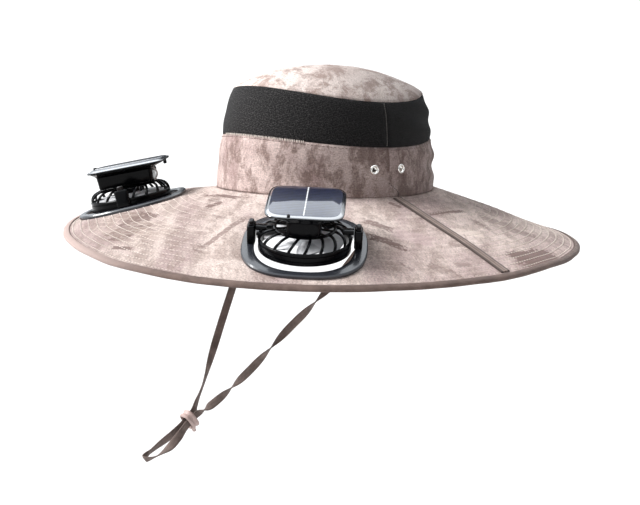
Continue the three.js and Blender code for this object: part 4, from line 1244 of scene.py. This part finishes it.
def row_places(point_at, count, off_at=None):
    """Places along a closed or open row. point_at(share) gives the cloth, count the number of stitches."""
    made = []
    for n in range(count):
        s, h = (n + 0.5) / count, 0.25 / count
        p = point_at(s)
        along = (point_at(s + h) - point_at(s - h)).normalized()
        off = off_at(s) if off_at else Vector((0, 0, 1))
        off = (off - along * off.dot(along)).normalized()
        made.append((p, along, off))
    return made


def covered(point):
    """True under a fan's base plate or over its opening, or under a side tape."""
    for inverse in FAN_INVERSES:
        q = inverse @ point
        along, wide = abs(q.x) / (PLATE_HALF_LONG + 0.0012), abs(q.y) / (PLATE_HALF_WIDE + 0.0012)
        if along ** 2.7 + wide ** 2.7 < 1:
            return True
    theta = math.atan2(abs(point.x) / HEAD_HALF_X, -point.y / HEAD_HALF_Y)
    off_tape = abs(point.y + math.cos(TAPE_TURN) * abs(point.x))
    return abs(theta - TAPE_TURN) < 0.08 and off_tape < TAPE_HALF + 0.002


def heavy(point):
    """The thread stands proudest on the two flanks of the brim, and sinks into the cloth between."""
    flank = abs(point.dot(level_right))
    return 0.46 + 0.86 * ease((flank - 0.085) / 0.07)


STITCH_PITCH = 0.0034
brim_places, under_places = [], []
for k in range(STITCH_ROWS):
    t = ROW_FIRST + ROW_PITCH * k
    around = TAU * sum(brim_halves(t)) / 2
    row = row_places(lambda s, t=t: stitched(s * TAU, t), round(around / STITCH_PITCH))
    for p, along, off in row:
        if not covered(p):
            brim_places.append((p + Vector((0, 0, 0.00012 * heavy(p) ** 2)), along, off, heavy(p)))
            under_places.append((p - Vector((0, 0, BRIM_CLOTH - 0.00002)), along, off))
seam_share = BINDING_START - 0.0025
edge_places = row_places(lambda s: stitched(s * TAU, seam_share) + Vector((0, 0, 0.00004)), 560)
sow_stitches("binding_seam_stitches", edge_places, 0.0024, 0.0007, dark_thread)
brim_stitches = sow_stitches("brim_topstitch", brim_places, 0.0029, 0.00095, thread_finish)
under_stitches = sow_stitches("brim_understitch", under_places, 0.0027, 0.0007, thread_finish)
print("brim stitches", len(brim_places))

# %% Seam stitches on the crown
def outward_at(s):
    """Off the crown at a share of the way round."""
    return Vector((math.sin(s * TAU), -math.cos(s * TAU), 0.1)).normalized()


def foot_cloth(theta, z, proud=0.00012):
    """A point a little proud of the printed band."""
    stands = swell(theta, z, band_foot(theta), lower_seam(theta), *FOOT_SWELL)
    return on_crown(theta, z, stands + seam_ditch(theta % TAU) + proud)


def net_cloth(theta, z, proud=0.00012):
    """A point a little proud of the net."""
    stands = swell(theta, z, lower_seam(theta), upper_seam(theta), *NET_SWELL)
    return on_crown(theta, z, stands + seam_ditch(theta % TAU) + proud)


dark_places = row_places(lambda s: foot_cloth(s * TAU, band_foot(s * TAU) + 0.0006, -0.0001), 260, outward_at)
dark_places += row_places(lambda s: foot_cloth(s * TAU, lower_seam(s * TAU) - 0.0021), 185, outward_at)
light_places, grey_places, shade_places = [], [], []
for side in (1, -1):
    turn = SIDE_SEAM * side

    def down_band(s, turn=turn, side=side):
        z = band_foot(turn) + (lower_seam(turn) - 0.0008 - band_foot(turn)) * (1 - s)
        kink = math.radians(6.0) * ease((0.011 - z) / 0.011) * side
        return foot_cloth(turn + kink, z, 0.0001)

    def down_net(s, turn=turn):
        z = upper_seam(turn) + (lower_seam(turn) - upper_seam(turn)) * (0.02 + 0.96 * s)
        return net_cloth(turn, z, 0.0001)
    off = Vector((side, -0.1, 0.1)).normalized()
    shade_places += row_places(down_band, 30, lambda s, off=off: off)
    grey_places += row_places(down_net, 20, lambda s, off=off: off)
ticks = 64
for n in range(ticks):
    theta = -0.35 + 1.05 * n / ticks
    theta += noise.noise(Vector((n * 3.7, 0, 0))) * 0.008
    seam = lower_seam(theta)
    p = foot_cloth(theta, seam - 0.0003, 0.0004)
    along = (on_crown(theta, seam + 0.001, 0) - on_crown(theta, seam - 0.001, 0)).normalized()
    light_places.append((p, along, outward_at(theta / TAU), 0.8 + 0.5 * noise.noise(Vector((n * 1.3, 5, 0)))))
for name, places, long, wide, finish, slot in (
    ("crown_seam_stitches", dark_places, 0.0024, 0.00055, dark_thread, "camo_cloth"),
    ("crown_gather_stitches", light_places, 0.0026, 0.0009, thread_finish, "camo_cloth"),
    ("crown_net_stitches", grey_places, 0.0018, 0.0008, grey_thread, "mesh_cloth"),
    ("crown_join_stitches", shade_places, 0.0016, 0.0008, shade_thread, "camo_cloth"),
):
    sow_stitches(name, places, long, wide, finish)
print("crown stitches", len(dark_places), len(light_places), len(grey_places))

# %% [markdown]
# ## Eyelets
#
# Each metal eyelet is a rolled flange on the cloth with a short barrel through it. It is round,
# so its profile is drawn once beside the axis and spun a full turn.

# %% Spin the eyelets
def spin_profile(profile, steps):
    """A closed profile of (radius, height) pairs spun round the z axis."""
    bm = bmesh.new()
    verts = [bm.verts.new((r, 0, z)) for r, z in profile]
    edges = [bm.edges.new(pair) for pair in zip(verts, verts[1:])]
    if profile[0][0] > 1e-6 or profile[-1][0] > 1e-6:
        edges.append(bm.edges.new((verts[-1], verts[0])))
    bmesh.ops.spin(bm, geom=verts + edges, cent=(0, 0, 0), axis=(0, 0, 1), angle=TAU, steps=steps,
                   use_merge=True, use_duplicate=False)
    bmesh.ops.remove_doubles(bm, verts=bm.verts, dist=1e-6)
    bmesh.ops.recalc_face_normals(bm, faces=bm.faces)
    bm.loops.layers.uv.new("metres")
    return bm


EYELET_PROFILE = [
    (0.0020, -0.0018), (0.00215, -0.0018), (0.0022, -0.0008), (0.00225, 0.0003), (0.0037, 0.0004),
    (0.0040, 0.0006), (0.0040, 0.0010), (0.0037, 0.00135), (0.0032, 0.0015), (0.0027, 0.0014),
    (0.0022, 0.0010), (0.0020, 0.0003),
]
for (name, end), matrix in EYELET_FRAMES.items():
    ring = spin_profile(EYELET_PROFILE, 36)
    chart_by_place(ring)
    ring.transform(matrix)
    eyelet = to_piece(ring, f"vent_eyelet_{name}_{end}", nickel, 50)
    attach(eyelet, "hat")
    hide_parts(f"eyelet_{name}_{end}")

# %% [markdown]
# ## The fans
#
# Each fan is a small moulded unit: a base plate on the cloth with a large opening, two posts with
# a knob on each, and a round cage that tilts between them. The cage has leaning bars, a ring and
# spokes to a motor can, with a pale rotor inside. On top a box widens under a solar panel, which
# is a tray, a grey lip, a sloping edge of clear resin, and the cell with its busbar. Both fans are
# the same mouldings, so every part is drawn beside the origin, in the fan's own directions, and
# then carried to its place on the left or on the right.

# %% Solar cell finish
cell_finish, tree, shader, _, chart = new_finish("solar_cell")
FINGERS_PER_METRE, CRYSTALS_PER_METRE = 310.0, 420.0
finger = calc(tree, "PINGPONG", times(tree, axes_of(tree, chart)[0], FINGERS_PER_METRE), 0.5)
finger = calc(tree, "SUBTRACT", 1.0, step(tree, finger, 0.04, 0.12))
crystal = put(tree, "TexVoronoi", {"voronoi_dimensions": "2D", "feature": "F1"}, Vector=chart,
              Scale=CRYSTALS_PER_METRE, Randomness=1.0).outputs["Color"]
crystal_value = put(tree, "SeparateColor", {}, (crystal,)).outputs[0]
navy = blend(tree, crystal_value, srgb(6, 11, 34), srgb(14, 22, 54))
feed(tree, shader, Base_Color=blend(tree, times(tree, finger, 0.3), navy, srgb(96, 106, 136)), Roughness=0.3,
     Coat_Weight=1.0, Coat_Roughness=0.015, Coat_IOR=1.46, Specular_IOR_Level=0.15)
marks = use_group(tree, scuffs, Vector=chart, Amount=0.2)
relief(tree, shader, marks["Height"], 0.00001, 0.2)

# %% Fan mouldings in their own frame
CAGE_TOP, CAGE_BARS, CAGE_SPOKES, BLADES = 0.0177, 18, 12, 7
PIVOT, POST_PLACE, ROTOR_TOP = 0.015, 0.0388, 0.0113


def plate_mesh():
    """Base plate: a flat moulding with rounded outline and a large opening."""
    return stack_loops([
        (0.039, 0.0365, 2.5, 0.0003), (PLATE_HALF_LONG, PLATE_HALF_WIDE, 2.7, 0.0003),
        (PLATE_HALF_LONG, PLATE_HALF_WIDE, 2.7, 0.0020), (0.0442, 0.0452, 2.7, 0.0030),
        (0.0418, 0.0408, 2.6, 0.0033), (0.0400, 0.0376, 2.5, 0.0033), (0.039, 0.0365, 2.5, 0.0027)],
        112, ring=True)


def post_mesh(sign):
    """A post, which is a soft-cornered block."""
    block = stack_loops([
        (0.0055, 0.0031, 6, 0.0036), (0.0055, 0.0031, 6, 0.0164), (0.0048, 0.0024, 6, 0.0176)], 40)
    block.transform(Matrix.Translation((0, sign * POST_PLACE, 0)))
    return block


def knob_mesh(sign):
    """The small knob on a post."""
    knob = stack_loops([
        (0.0027, 0.0020, 4, 0.0174), (0.0027, 0.0020, 4, 0.0180), (0.0024, 0.0017, 4, 0.0182),
        (0.0026, 0.0019, 4, 0.0186), (0.0025, 0.0018, 4, 0.0202), (0.0018, 0.0013, 3, 0.0208)], 28)
    knob.transform(Matrix.Translation((0, sign * POST_PLACE, 0)))
    return knob


def sweep(count, steps, point):
    """A closed bar: point(u, v) goes round its section by u and along it by v."""
    bar = bend_grid(count, steps, point, lambda u, v: (u, v))
    close_holes(bar)
    return bar


def squircle(u, half_a, half_b, power=0.5):
    """A point of a soft-cornered section."""
    return signed_power(math.cos(u * TAU), power) * half_a, signed_power(math.sin(u * TAU), power) * half_b


def way_out(angle):
    """The direction away from the z axis at an angle."""
    return Vector((math.cos(angle), math.sin(angle), 0))


def cage_mesh():
    """Cage: a band with two fine grooves, leaning bars, a ring, spokes to a motor can, and two lugs."""
    band = spin_profile([
        (0.0324, 0.0002), (0.0338, 0.0002), (0.0340, 0.0005), (0.0340, 0.0028), (0.0334, 0.0031),
        (0.0334, 0.0035), (0.0340, 0.0038), (0.0340, 0.0064), (0.0334, 0.0067), (0.0334, 0.0071),
        (0.0340, 0.0074), (0.0340, 0.0087), (0.0335, 0.0094), (0.0329, 0.0094), (0.0324, 0.0086)], 96)
    ring = spin_profile([
        (0.0208, CAGE_TOP - 0.0016), (0.0222, CAGE_TOP - 0.0018), (0.0232, CAGE_TOP - 0.0014),
        (0.0232, CAGE_TOP - 0.0006), (0.0224, CAGE_TOP), (0.0210, CAGE_TOP), (0.0206, CAGE_TOP - 0.0006)], 72)
    can = spin_profile([
        (0.0, CAGE_TOP), (0.0112, CAGE_TOP), (0.0118, CAGE_TOP - 0.0005), (0.0118, CAGE_TOP - 0.0014),
        (0.0110, CAGE_TOP - 0.0018), (0.0087, CAGE_TOP - 0.0018), (0.0085, CAGE_TOP - 0.0060),
        (0.0080, ROTOR_TOP), (0.0, ROTOR_TOP)], 48)
    bars = []
    for k in range(CAGE_BARS):
        start = TAU * (k + 0.135) / CAGE_BARS

        def bar_point(u, v, start=start):
            a = start + math.radians(11) * v
            out, turn = way_out(a), way_out(a + TAU / 4)
            tilt = v * TAU / 4
            r = 0.0216 + 0.0115 * math.cos(tilt) ** 0.8
            z = 0.0086 + (CAGE_TOP - 0.0008 - 0.0086) * math.sin(tilt)
            across, deep = squircle(u, 0.00122 + (0.0010 - 0.00122) * v, 0.0008)
            face = out * math.cos(tilt) + Vector((0, 0, 1)) * math.sin(tilt)
            return out * r + Vector((0, 0, z)) + turn * across + face * deep
        bars.append(sweep(14, 10, bar_point))
    for k in range(CAGE_SPOKES):
        def spoke_point(u, v, a=TAU * (k + 0.5) / CAGE_SPOKES):
            across, deep = squircle(u, 0.0009, 0.0007)
            middle = way_out(a) * (0.0105 + 0.0110 * v) + Vector((0, 0, CAGE_TOP - 0.0009))
            return middle + way_out(a + TAU / 4) * across + Vector((0, 0, deep))
        bars.append(sweep(10, 3, spoke_point))
    for sign in (1, -1):
        def arm_point(u, v, sign=sign):
            x, z = squircle(u, 0.0040 - 0.0008 * v, 0.0018, 0.4)
            return Vector((x, sign * (0.0275 + (0.0354 - 0.0275) * v), PIVOT + z))

        def lug_point(u, v, sign=sign):
            x, y = squircle(u, 0.0046 - 0.0012 * v, 0.0012, 0.4)
            lean = 0.0332 - 0.0040 * v * v
            return Vector((x, sign * (lean + y), 0.0080 + 0.0086 * v))

        def boss_point(u, v, sign=sign):
            x, z = squircle(u, 0.0014, 0.0014, 1.0)
            return Vector((0.0052 + x, sign * (0.0318 + 0.0030 * v), 0.0118 + z))
        bars += [sweep(24, 8, arm_point), sweep(24, 8, lug_point), sweep(18, 3, boss_point)]
    return join_into(band, ring, can, *bars)


def rotor_mesh():
    """Rotor: a domed hub with seven broad blades, each a bent grid with a wall."""
    foot = ROTOR_TOP - 0.0079
    hub = spin_profile([
        (0.0, 0.0110), (0.0078, 0.0110), (0.0082, 0.0106), (0.0082, foot + 0.0012), (0.0076, foot + 0.0003),
        (0.0060, foot), (0.0, foot)], 48)
    # Radius, half width, pitch and sweep in degrees.
    stations = [(0.0070, 0.0035, 34, 0), (0.01475, 0.0065, 28, 4), (0.0230, 0.0084, 22, 9),
                (0.0295, 0.0089, 19, 15)]
    blades = []
    for k in range(BLADES):
        def blade_point(u, v, k=k):
            place = v * (len(stations) - 1)
            i = min(int(place), len(stations) - 2)
            f = place - i
            r, half, pitch, turn = (a + (b - a) * f for a, b in zip(stations[i], stations[i + 1]))
            c, s = math.cos(math.radians(pitch)), math.sin(math.radians(pitch))
            w, h = math.cos(u * TAU) * half, signed_power(math.sin(u * TAU), 0.6) * 0.00050
            y = w * c - h * s
            z = ROTOR_TOP - 0.00395 + w * s * 0.85 + h + 0.0007 * (1 - (w / half) ** 2)
            x = math.sqrt(max(r * r - y * y, 1e-6))
            return Matrix.Rotation(k * TAU / BLADES + math.radians(turn), 3, "Z") @ Vector((x, y, z))
        blade = bend_grid(28, 14, blade_point, lambda u, v: (u, v))
        close_holes(blade)
        blades.append(blade)
    return join_into(hub, *blades)


def box_mesh():
    """Housing: a small box that flares out under the panel."""
    under = 0.0327
    rows = [
        (0.0222, 0.0114, 7, 0.0180, 0), (0.0231, 0.0123, 7, 0.0184, 0), (0.0234, 0.0126, 8, 0.0192, 0),
        (0.0236, 0.0127, 8, 0.0240, 0), (0.0240, 0.0129, 8, under - 0.0044, 0),
        (0.0247, 0.0138, 8, under - 0.0036, -0.0004), (0.0272, 0.0186, 7, under - 0.0022, -0.0020),
        (0.0296, 0.0240, 6, under - 0.0010, -0.0032), (0.0304, 0.0262, 6, under - 0.0004, -0.0036),
        (0.0304, 0.0262, 6, under, -0.0036),
    ]
    return stack_loops(rows, 96)


PANEL_LONG, PANEL_WIDE, PANEL_SHIFT, CELL_TOP = 0.0328, 0.0285, -0.0036, 0.03552


def panel_loops(rows, ring=False):
    """Loops of the panel's outline. rows holds how far each is drawn in, and its height."""
    return stack_loops(
        [(PANEL_LONG - inset, PANEL_WIDE - inset, 6, z, PANEL_SHIFT) for inset, z in rows], 96, ring)


def tray_mesh():
    """Panel tray: a thin black slab with softened foot."""
    return panel_loops([(0.0005, 0.0330), (0.0, 0.0334), (0.0, 0.0341), (0.0003, 0.0343)])


def lip_mesh():
    """A thin grey lip round the tray's upper edge."""
    return panel_loops(
        [(0.00005, 0.03415), (0.00045, 0.03455), (0.00105, 0.03455), (0.00065, 0.03415)], ring=True)


def bevel_mesh():
    """The sloping edge of the clear resin, which catches the light."""
    return panel_loops(
        [(0.0009, 0.03425), (0.0026, 0.03538), (0.0034, 0.03538), (0.0017, 0.03425)], ring=True)


def cell_mesh():
    """The cell under its clear resin: a shallow slab."""
    return panel_loops([(0.0027, 0.0342), (0.0027, 0.03540), (0.0032, CELL_TOP)])


def busbar_mesh():
    """The printed conductor along the cell: a thin strip that swells 17 times."""
    length, swells = 0.0580, 17

    def point(u, v):
        across, deep = squircle(u, 0.00022 + 0.00042 * math.sin(v * swells * math.pi) ** 2, 0.00006)
        return Vector((PANEL_SHIFT + (v - 0.5) * length, across, CELL_TOP + deep))
    return sweep(8, 68, point)


def details_mesh():
    """Small parts: a stud on the panel, a peg under its inner end and a switch nub on the box."""
    stud = stack_loops([(0.0015, 0.0012, 2.2, 0.0340, 0.0274), (0.0015, 0.0012, 2.2, 0.0360, 0.0274),
                        (0.0010, 0.0008, 2.2, 0.0363, 0.0274)], 20)
    stud.transform(Matrix.Translation((0.0, -0.0105, 0)))
    peg = stack_loops([(0.0011, 0.0014, 4, 0.0296, -0.0345), (0.0014, 0.0018, 4, 0.0304, -0.0345),
                       (0.0014, 0.0018, 4, 0.0334, -0.0345)], 20)
    nub = stack_loops([(0.0012, 0.0016, 3, 0.0262, -0.0246), (0.0016, 0.0020, 3, 0.0268, -0.0246),
                       (0.0016, 0.0020, 3, 0.0282, -0.0246), (0.0012, 0.0016, 3, 0.0288, -0.0246)], 20)
    return join_into(stud, peg, nub)


def wire_mesh():
    """The short wire from the box down to the motor, in its clear sleeve."""
    def point(u, v):
        a = v * math.pi
        centre = Vector((-0.0236 - 0.0030 * math.sin(a), 0.0035, 0.0292 - 0.0112 * v))
        inward = Vector((-math.cos(a) * 0.35, 0, -1)).normalized()
        side = inward.cross(Vector((0, 1, 0)))
        across, deep = squircle(u, 0.0008, 0.0008, 1.0)
        return centre + side * across + Vector((0, deep, 0))
    return sweep(14, 24, point)


# %% Carry the mouldings to both places
FAN_TIPS = {"left": -7.5, "right": -2.5}
POST_BEVEL = 0.0005
for name in ("left", "right"):
    base = FAN_FRAMES[name]
    head = (base @ Matrix.Translation((0, 0, PIVOT)) @ Matrix.Rotation(math.radians(FAN_TIPS[name]), 4, "Y")
            @ Matrix.Translation((0, 0, -PIVOT)))
    turning, spinning, black, cell = f"fan_{name}_head", f"fan_{name}_blades", "black_plastic", "solar_cell"
    # Name, mesh, place, finish, body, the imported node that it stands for, slot.
    parts = [
        ("plate", plate_mesh(), base, plate_gloss, "hat", "base_plate", black),
        ("post_block_front", post_mesh(-1), base, black_gloss, "hat", "post_front", black),
        ("post_block_back", post_mesh(1), base, black_gloss, "hat", "post_back", black),
        ("knob_front", knob_mesh(-1), base, knob_brown, "hat", None, black),
        ("knob_back", knob_mesh(1), base, knob_brown, "hat", None, black),
        ("guard", cage_mesh(), head, black_gloss, turning, "cage", black),
        ("blades", rotor_mesh(), head, pale_blade, spinning, "rotor", "rotor_plastic"),
        ("box", box_mesh(), head, black_gloss, turning, "housing", black),
        ("panel_tray", tray_mesh(), head, black_gloss, turning, "solar_panel", cell),
        ("panel_lip", lip_mesh(), head, grey_lip, turning, None, cell),
        ("panel_resin_edge", bevel_mesh(), head, resin_edge, turning, None, cell),
        ("small_parts", details_mesh(), head, black_gloss, turning, None, black),
        ("motor_wire", wire_mesh(), head, wire_sleeve, turning, None, black),
        ("panel_cell", cell_mesh(), head, cell_finish, turning, None, cell),
        ("panel_busbar", busbar_mesh(), head, silver_ink, turning, None, cell),
    ]
    for part, bm, matrix, finish, body, node, slot in parts:
        chart_by_place(bm)
        bm.transform(matrix)
        piece = to_piece(bm, f"{name}_fan_{part}", finish, 32)
        if part.startswith("post"):
            soften_edges(piece, POST_BEVEL, 2)
        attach(piece, body)
        if node:
            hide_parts(f"fan_{name}_{node}")
    print(name, "fan pieces", len(parts))

# %% [markdown]
# ## Studio
#
# The picture was taken on plain white. A wide pale floor well below the hanging strap and an even
# sky stand for the white room. The sky is white to the camera and dimmer as a light. Polished parts
# see a bright ceiling and a white wall in it instead. One broad soft sun from the upper left gives
# the bright crown and the darker right side.

# %% Floor, sky and light
FLOOR_HEIGHT = -0.46
floor = bmesh.new()
bmesh.ops.create_grid(floor, x_segments=8, y_segments=8, size=14.0)
floor.transform(Matrix.Translation((0, 0, FLOOR_HEIGHT)))
floor_finish, tree, shader, place, _ = new_finish("pale_floor")
mottle = speckle(tree, place, 3.0, 3.0, 0.5)
feed(tree, shader, Roughness=0.9,
     Base_Color=blend(tree, mottle, (0.80, 0.80, 0.80, 1), (0.83, 0.83, 0.83, 1)))
floor_piece = to_piece(floor, "studio_floor", floor_finish)

world = bpy.data.worlds.new("white_room")
bpy.context.scene.world = world
world.use_nodes = True
sky = world.node_tree
sky.nodes.clear()
path = sky.nodes.new("ShaderNodeLightPath")
seen = put(sky, "Background", {}, Color=(1, 1, 1, 1), Strength=1.1)
lit = put(sky, "Background", {}, Color=(0.97, 0.98, 1.0, 1), Strength=0.40)
# Polished parts mirror a bright ceiling, a white wall at the left and a dim horizon.
gaze = sky.nodes.new("ShaderNodeTexCoord").outputs["Generated"]
rise = axes_of(sky, gaze)[2]
across = vector_calc(sky, "DOT_PRODUCT", gaze, tuple(level_right))
ceiling = calc(sky, "MULTIPLY_ADD", step(sky, rise, 0.18, 0.66), 2.9, 0.06)
ceiling = times(sky, ceiling, calc(sky, "MULTIPLY_ADD", across, -0.45, 0.95))
wall = times(sky, step(sky, times(sky, across, -1.0), 0.10, 0.24), step(sky, rise, -0.05, 0.05), 1.1)
ceiling = calc(sky, "MAXIMUM", ceiling, wall)
mirrored = put(sky, "Background", {}, Color=(0.90, 0.95, 1.0, 1), Strength=ceiling)
dull = put(sky, "MixShader", {}, (path.outputs["Is Glossy Ray"], lit.outputs[0], mirrored.outputs[0]))
either = put(sky, "MixShader", {}, (path.outputs["Is Camera Ray"], dull.outputs[0], seen.outputs[0]))
sky.links.new(either.outputs[0], sky.nodes.new("ShaderNodeOutputWorld").inputs[0])


def sun(name, come_from, strength, spread):
    """A distant lamp. spread: how wide it looks, in degrees."""
    lamp = bpy.data.lights.new(name, "SUN")
    lamp.energy, lamp.angle = strength, math.radians(spread)
    made = bpy.data.objects.new(name, lamp)
    made.rotation_mode = "QUATERNION"
    made.rotation_quaternion = come_from.to_track_quat("Z", "Y")
    bpy.context.scene.collection.objects.link(made)


key_from = (-level_right * 0.78 + Vector((0, 0, 0.72)) + toward * 0.08).normalized()
sun("key_sun", key_from, 5.1, 30)
bpy.context.scene.view_settings.view_transform = "Standard"
bpy.context.scene.view_settings.look = "None"
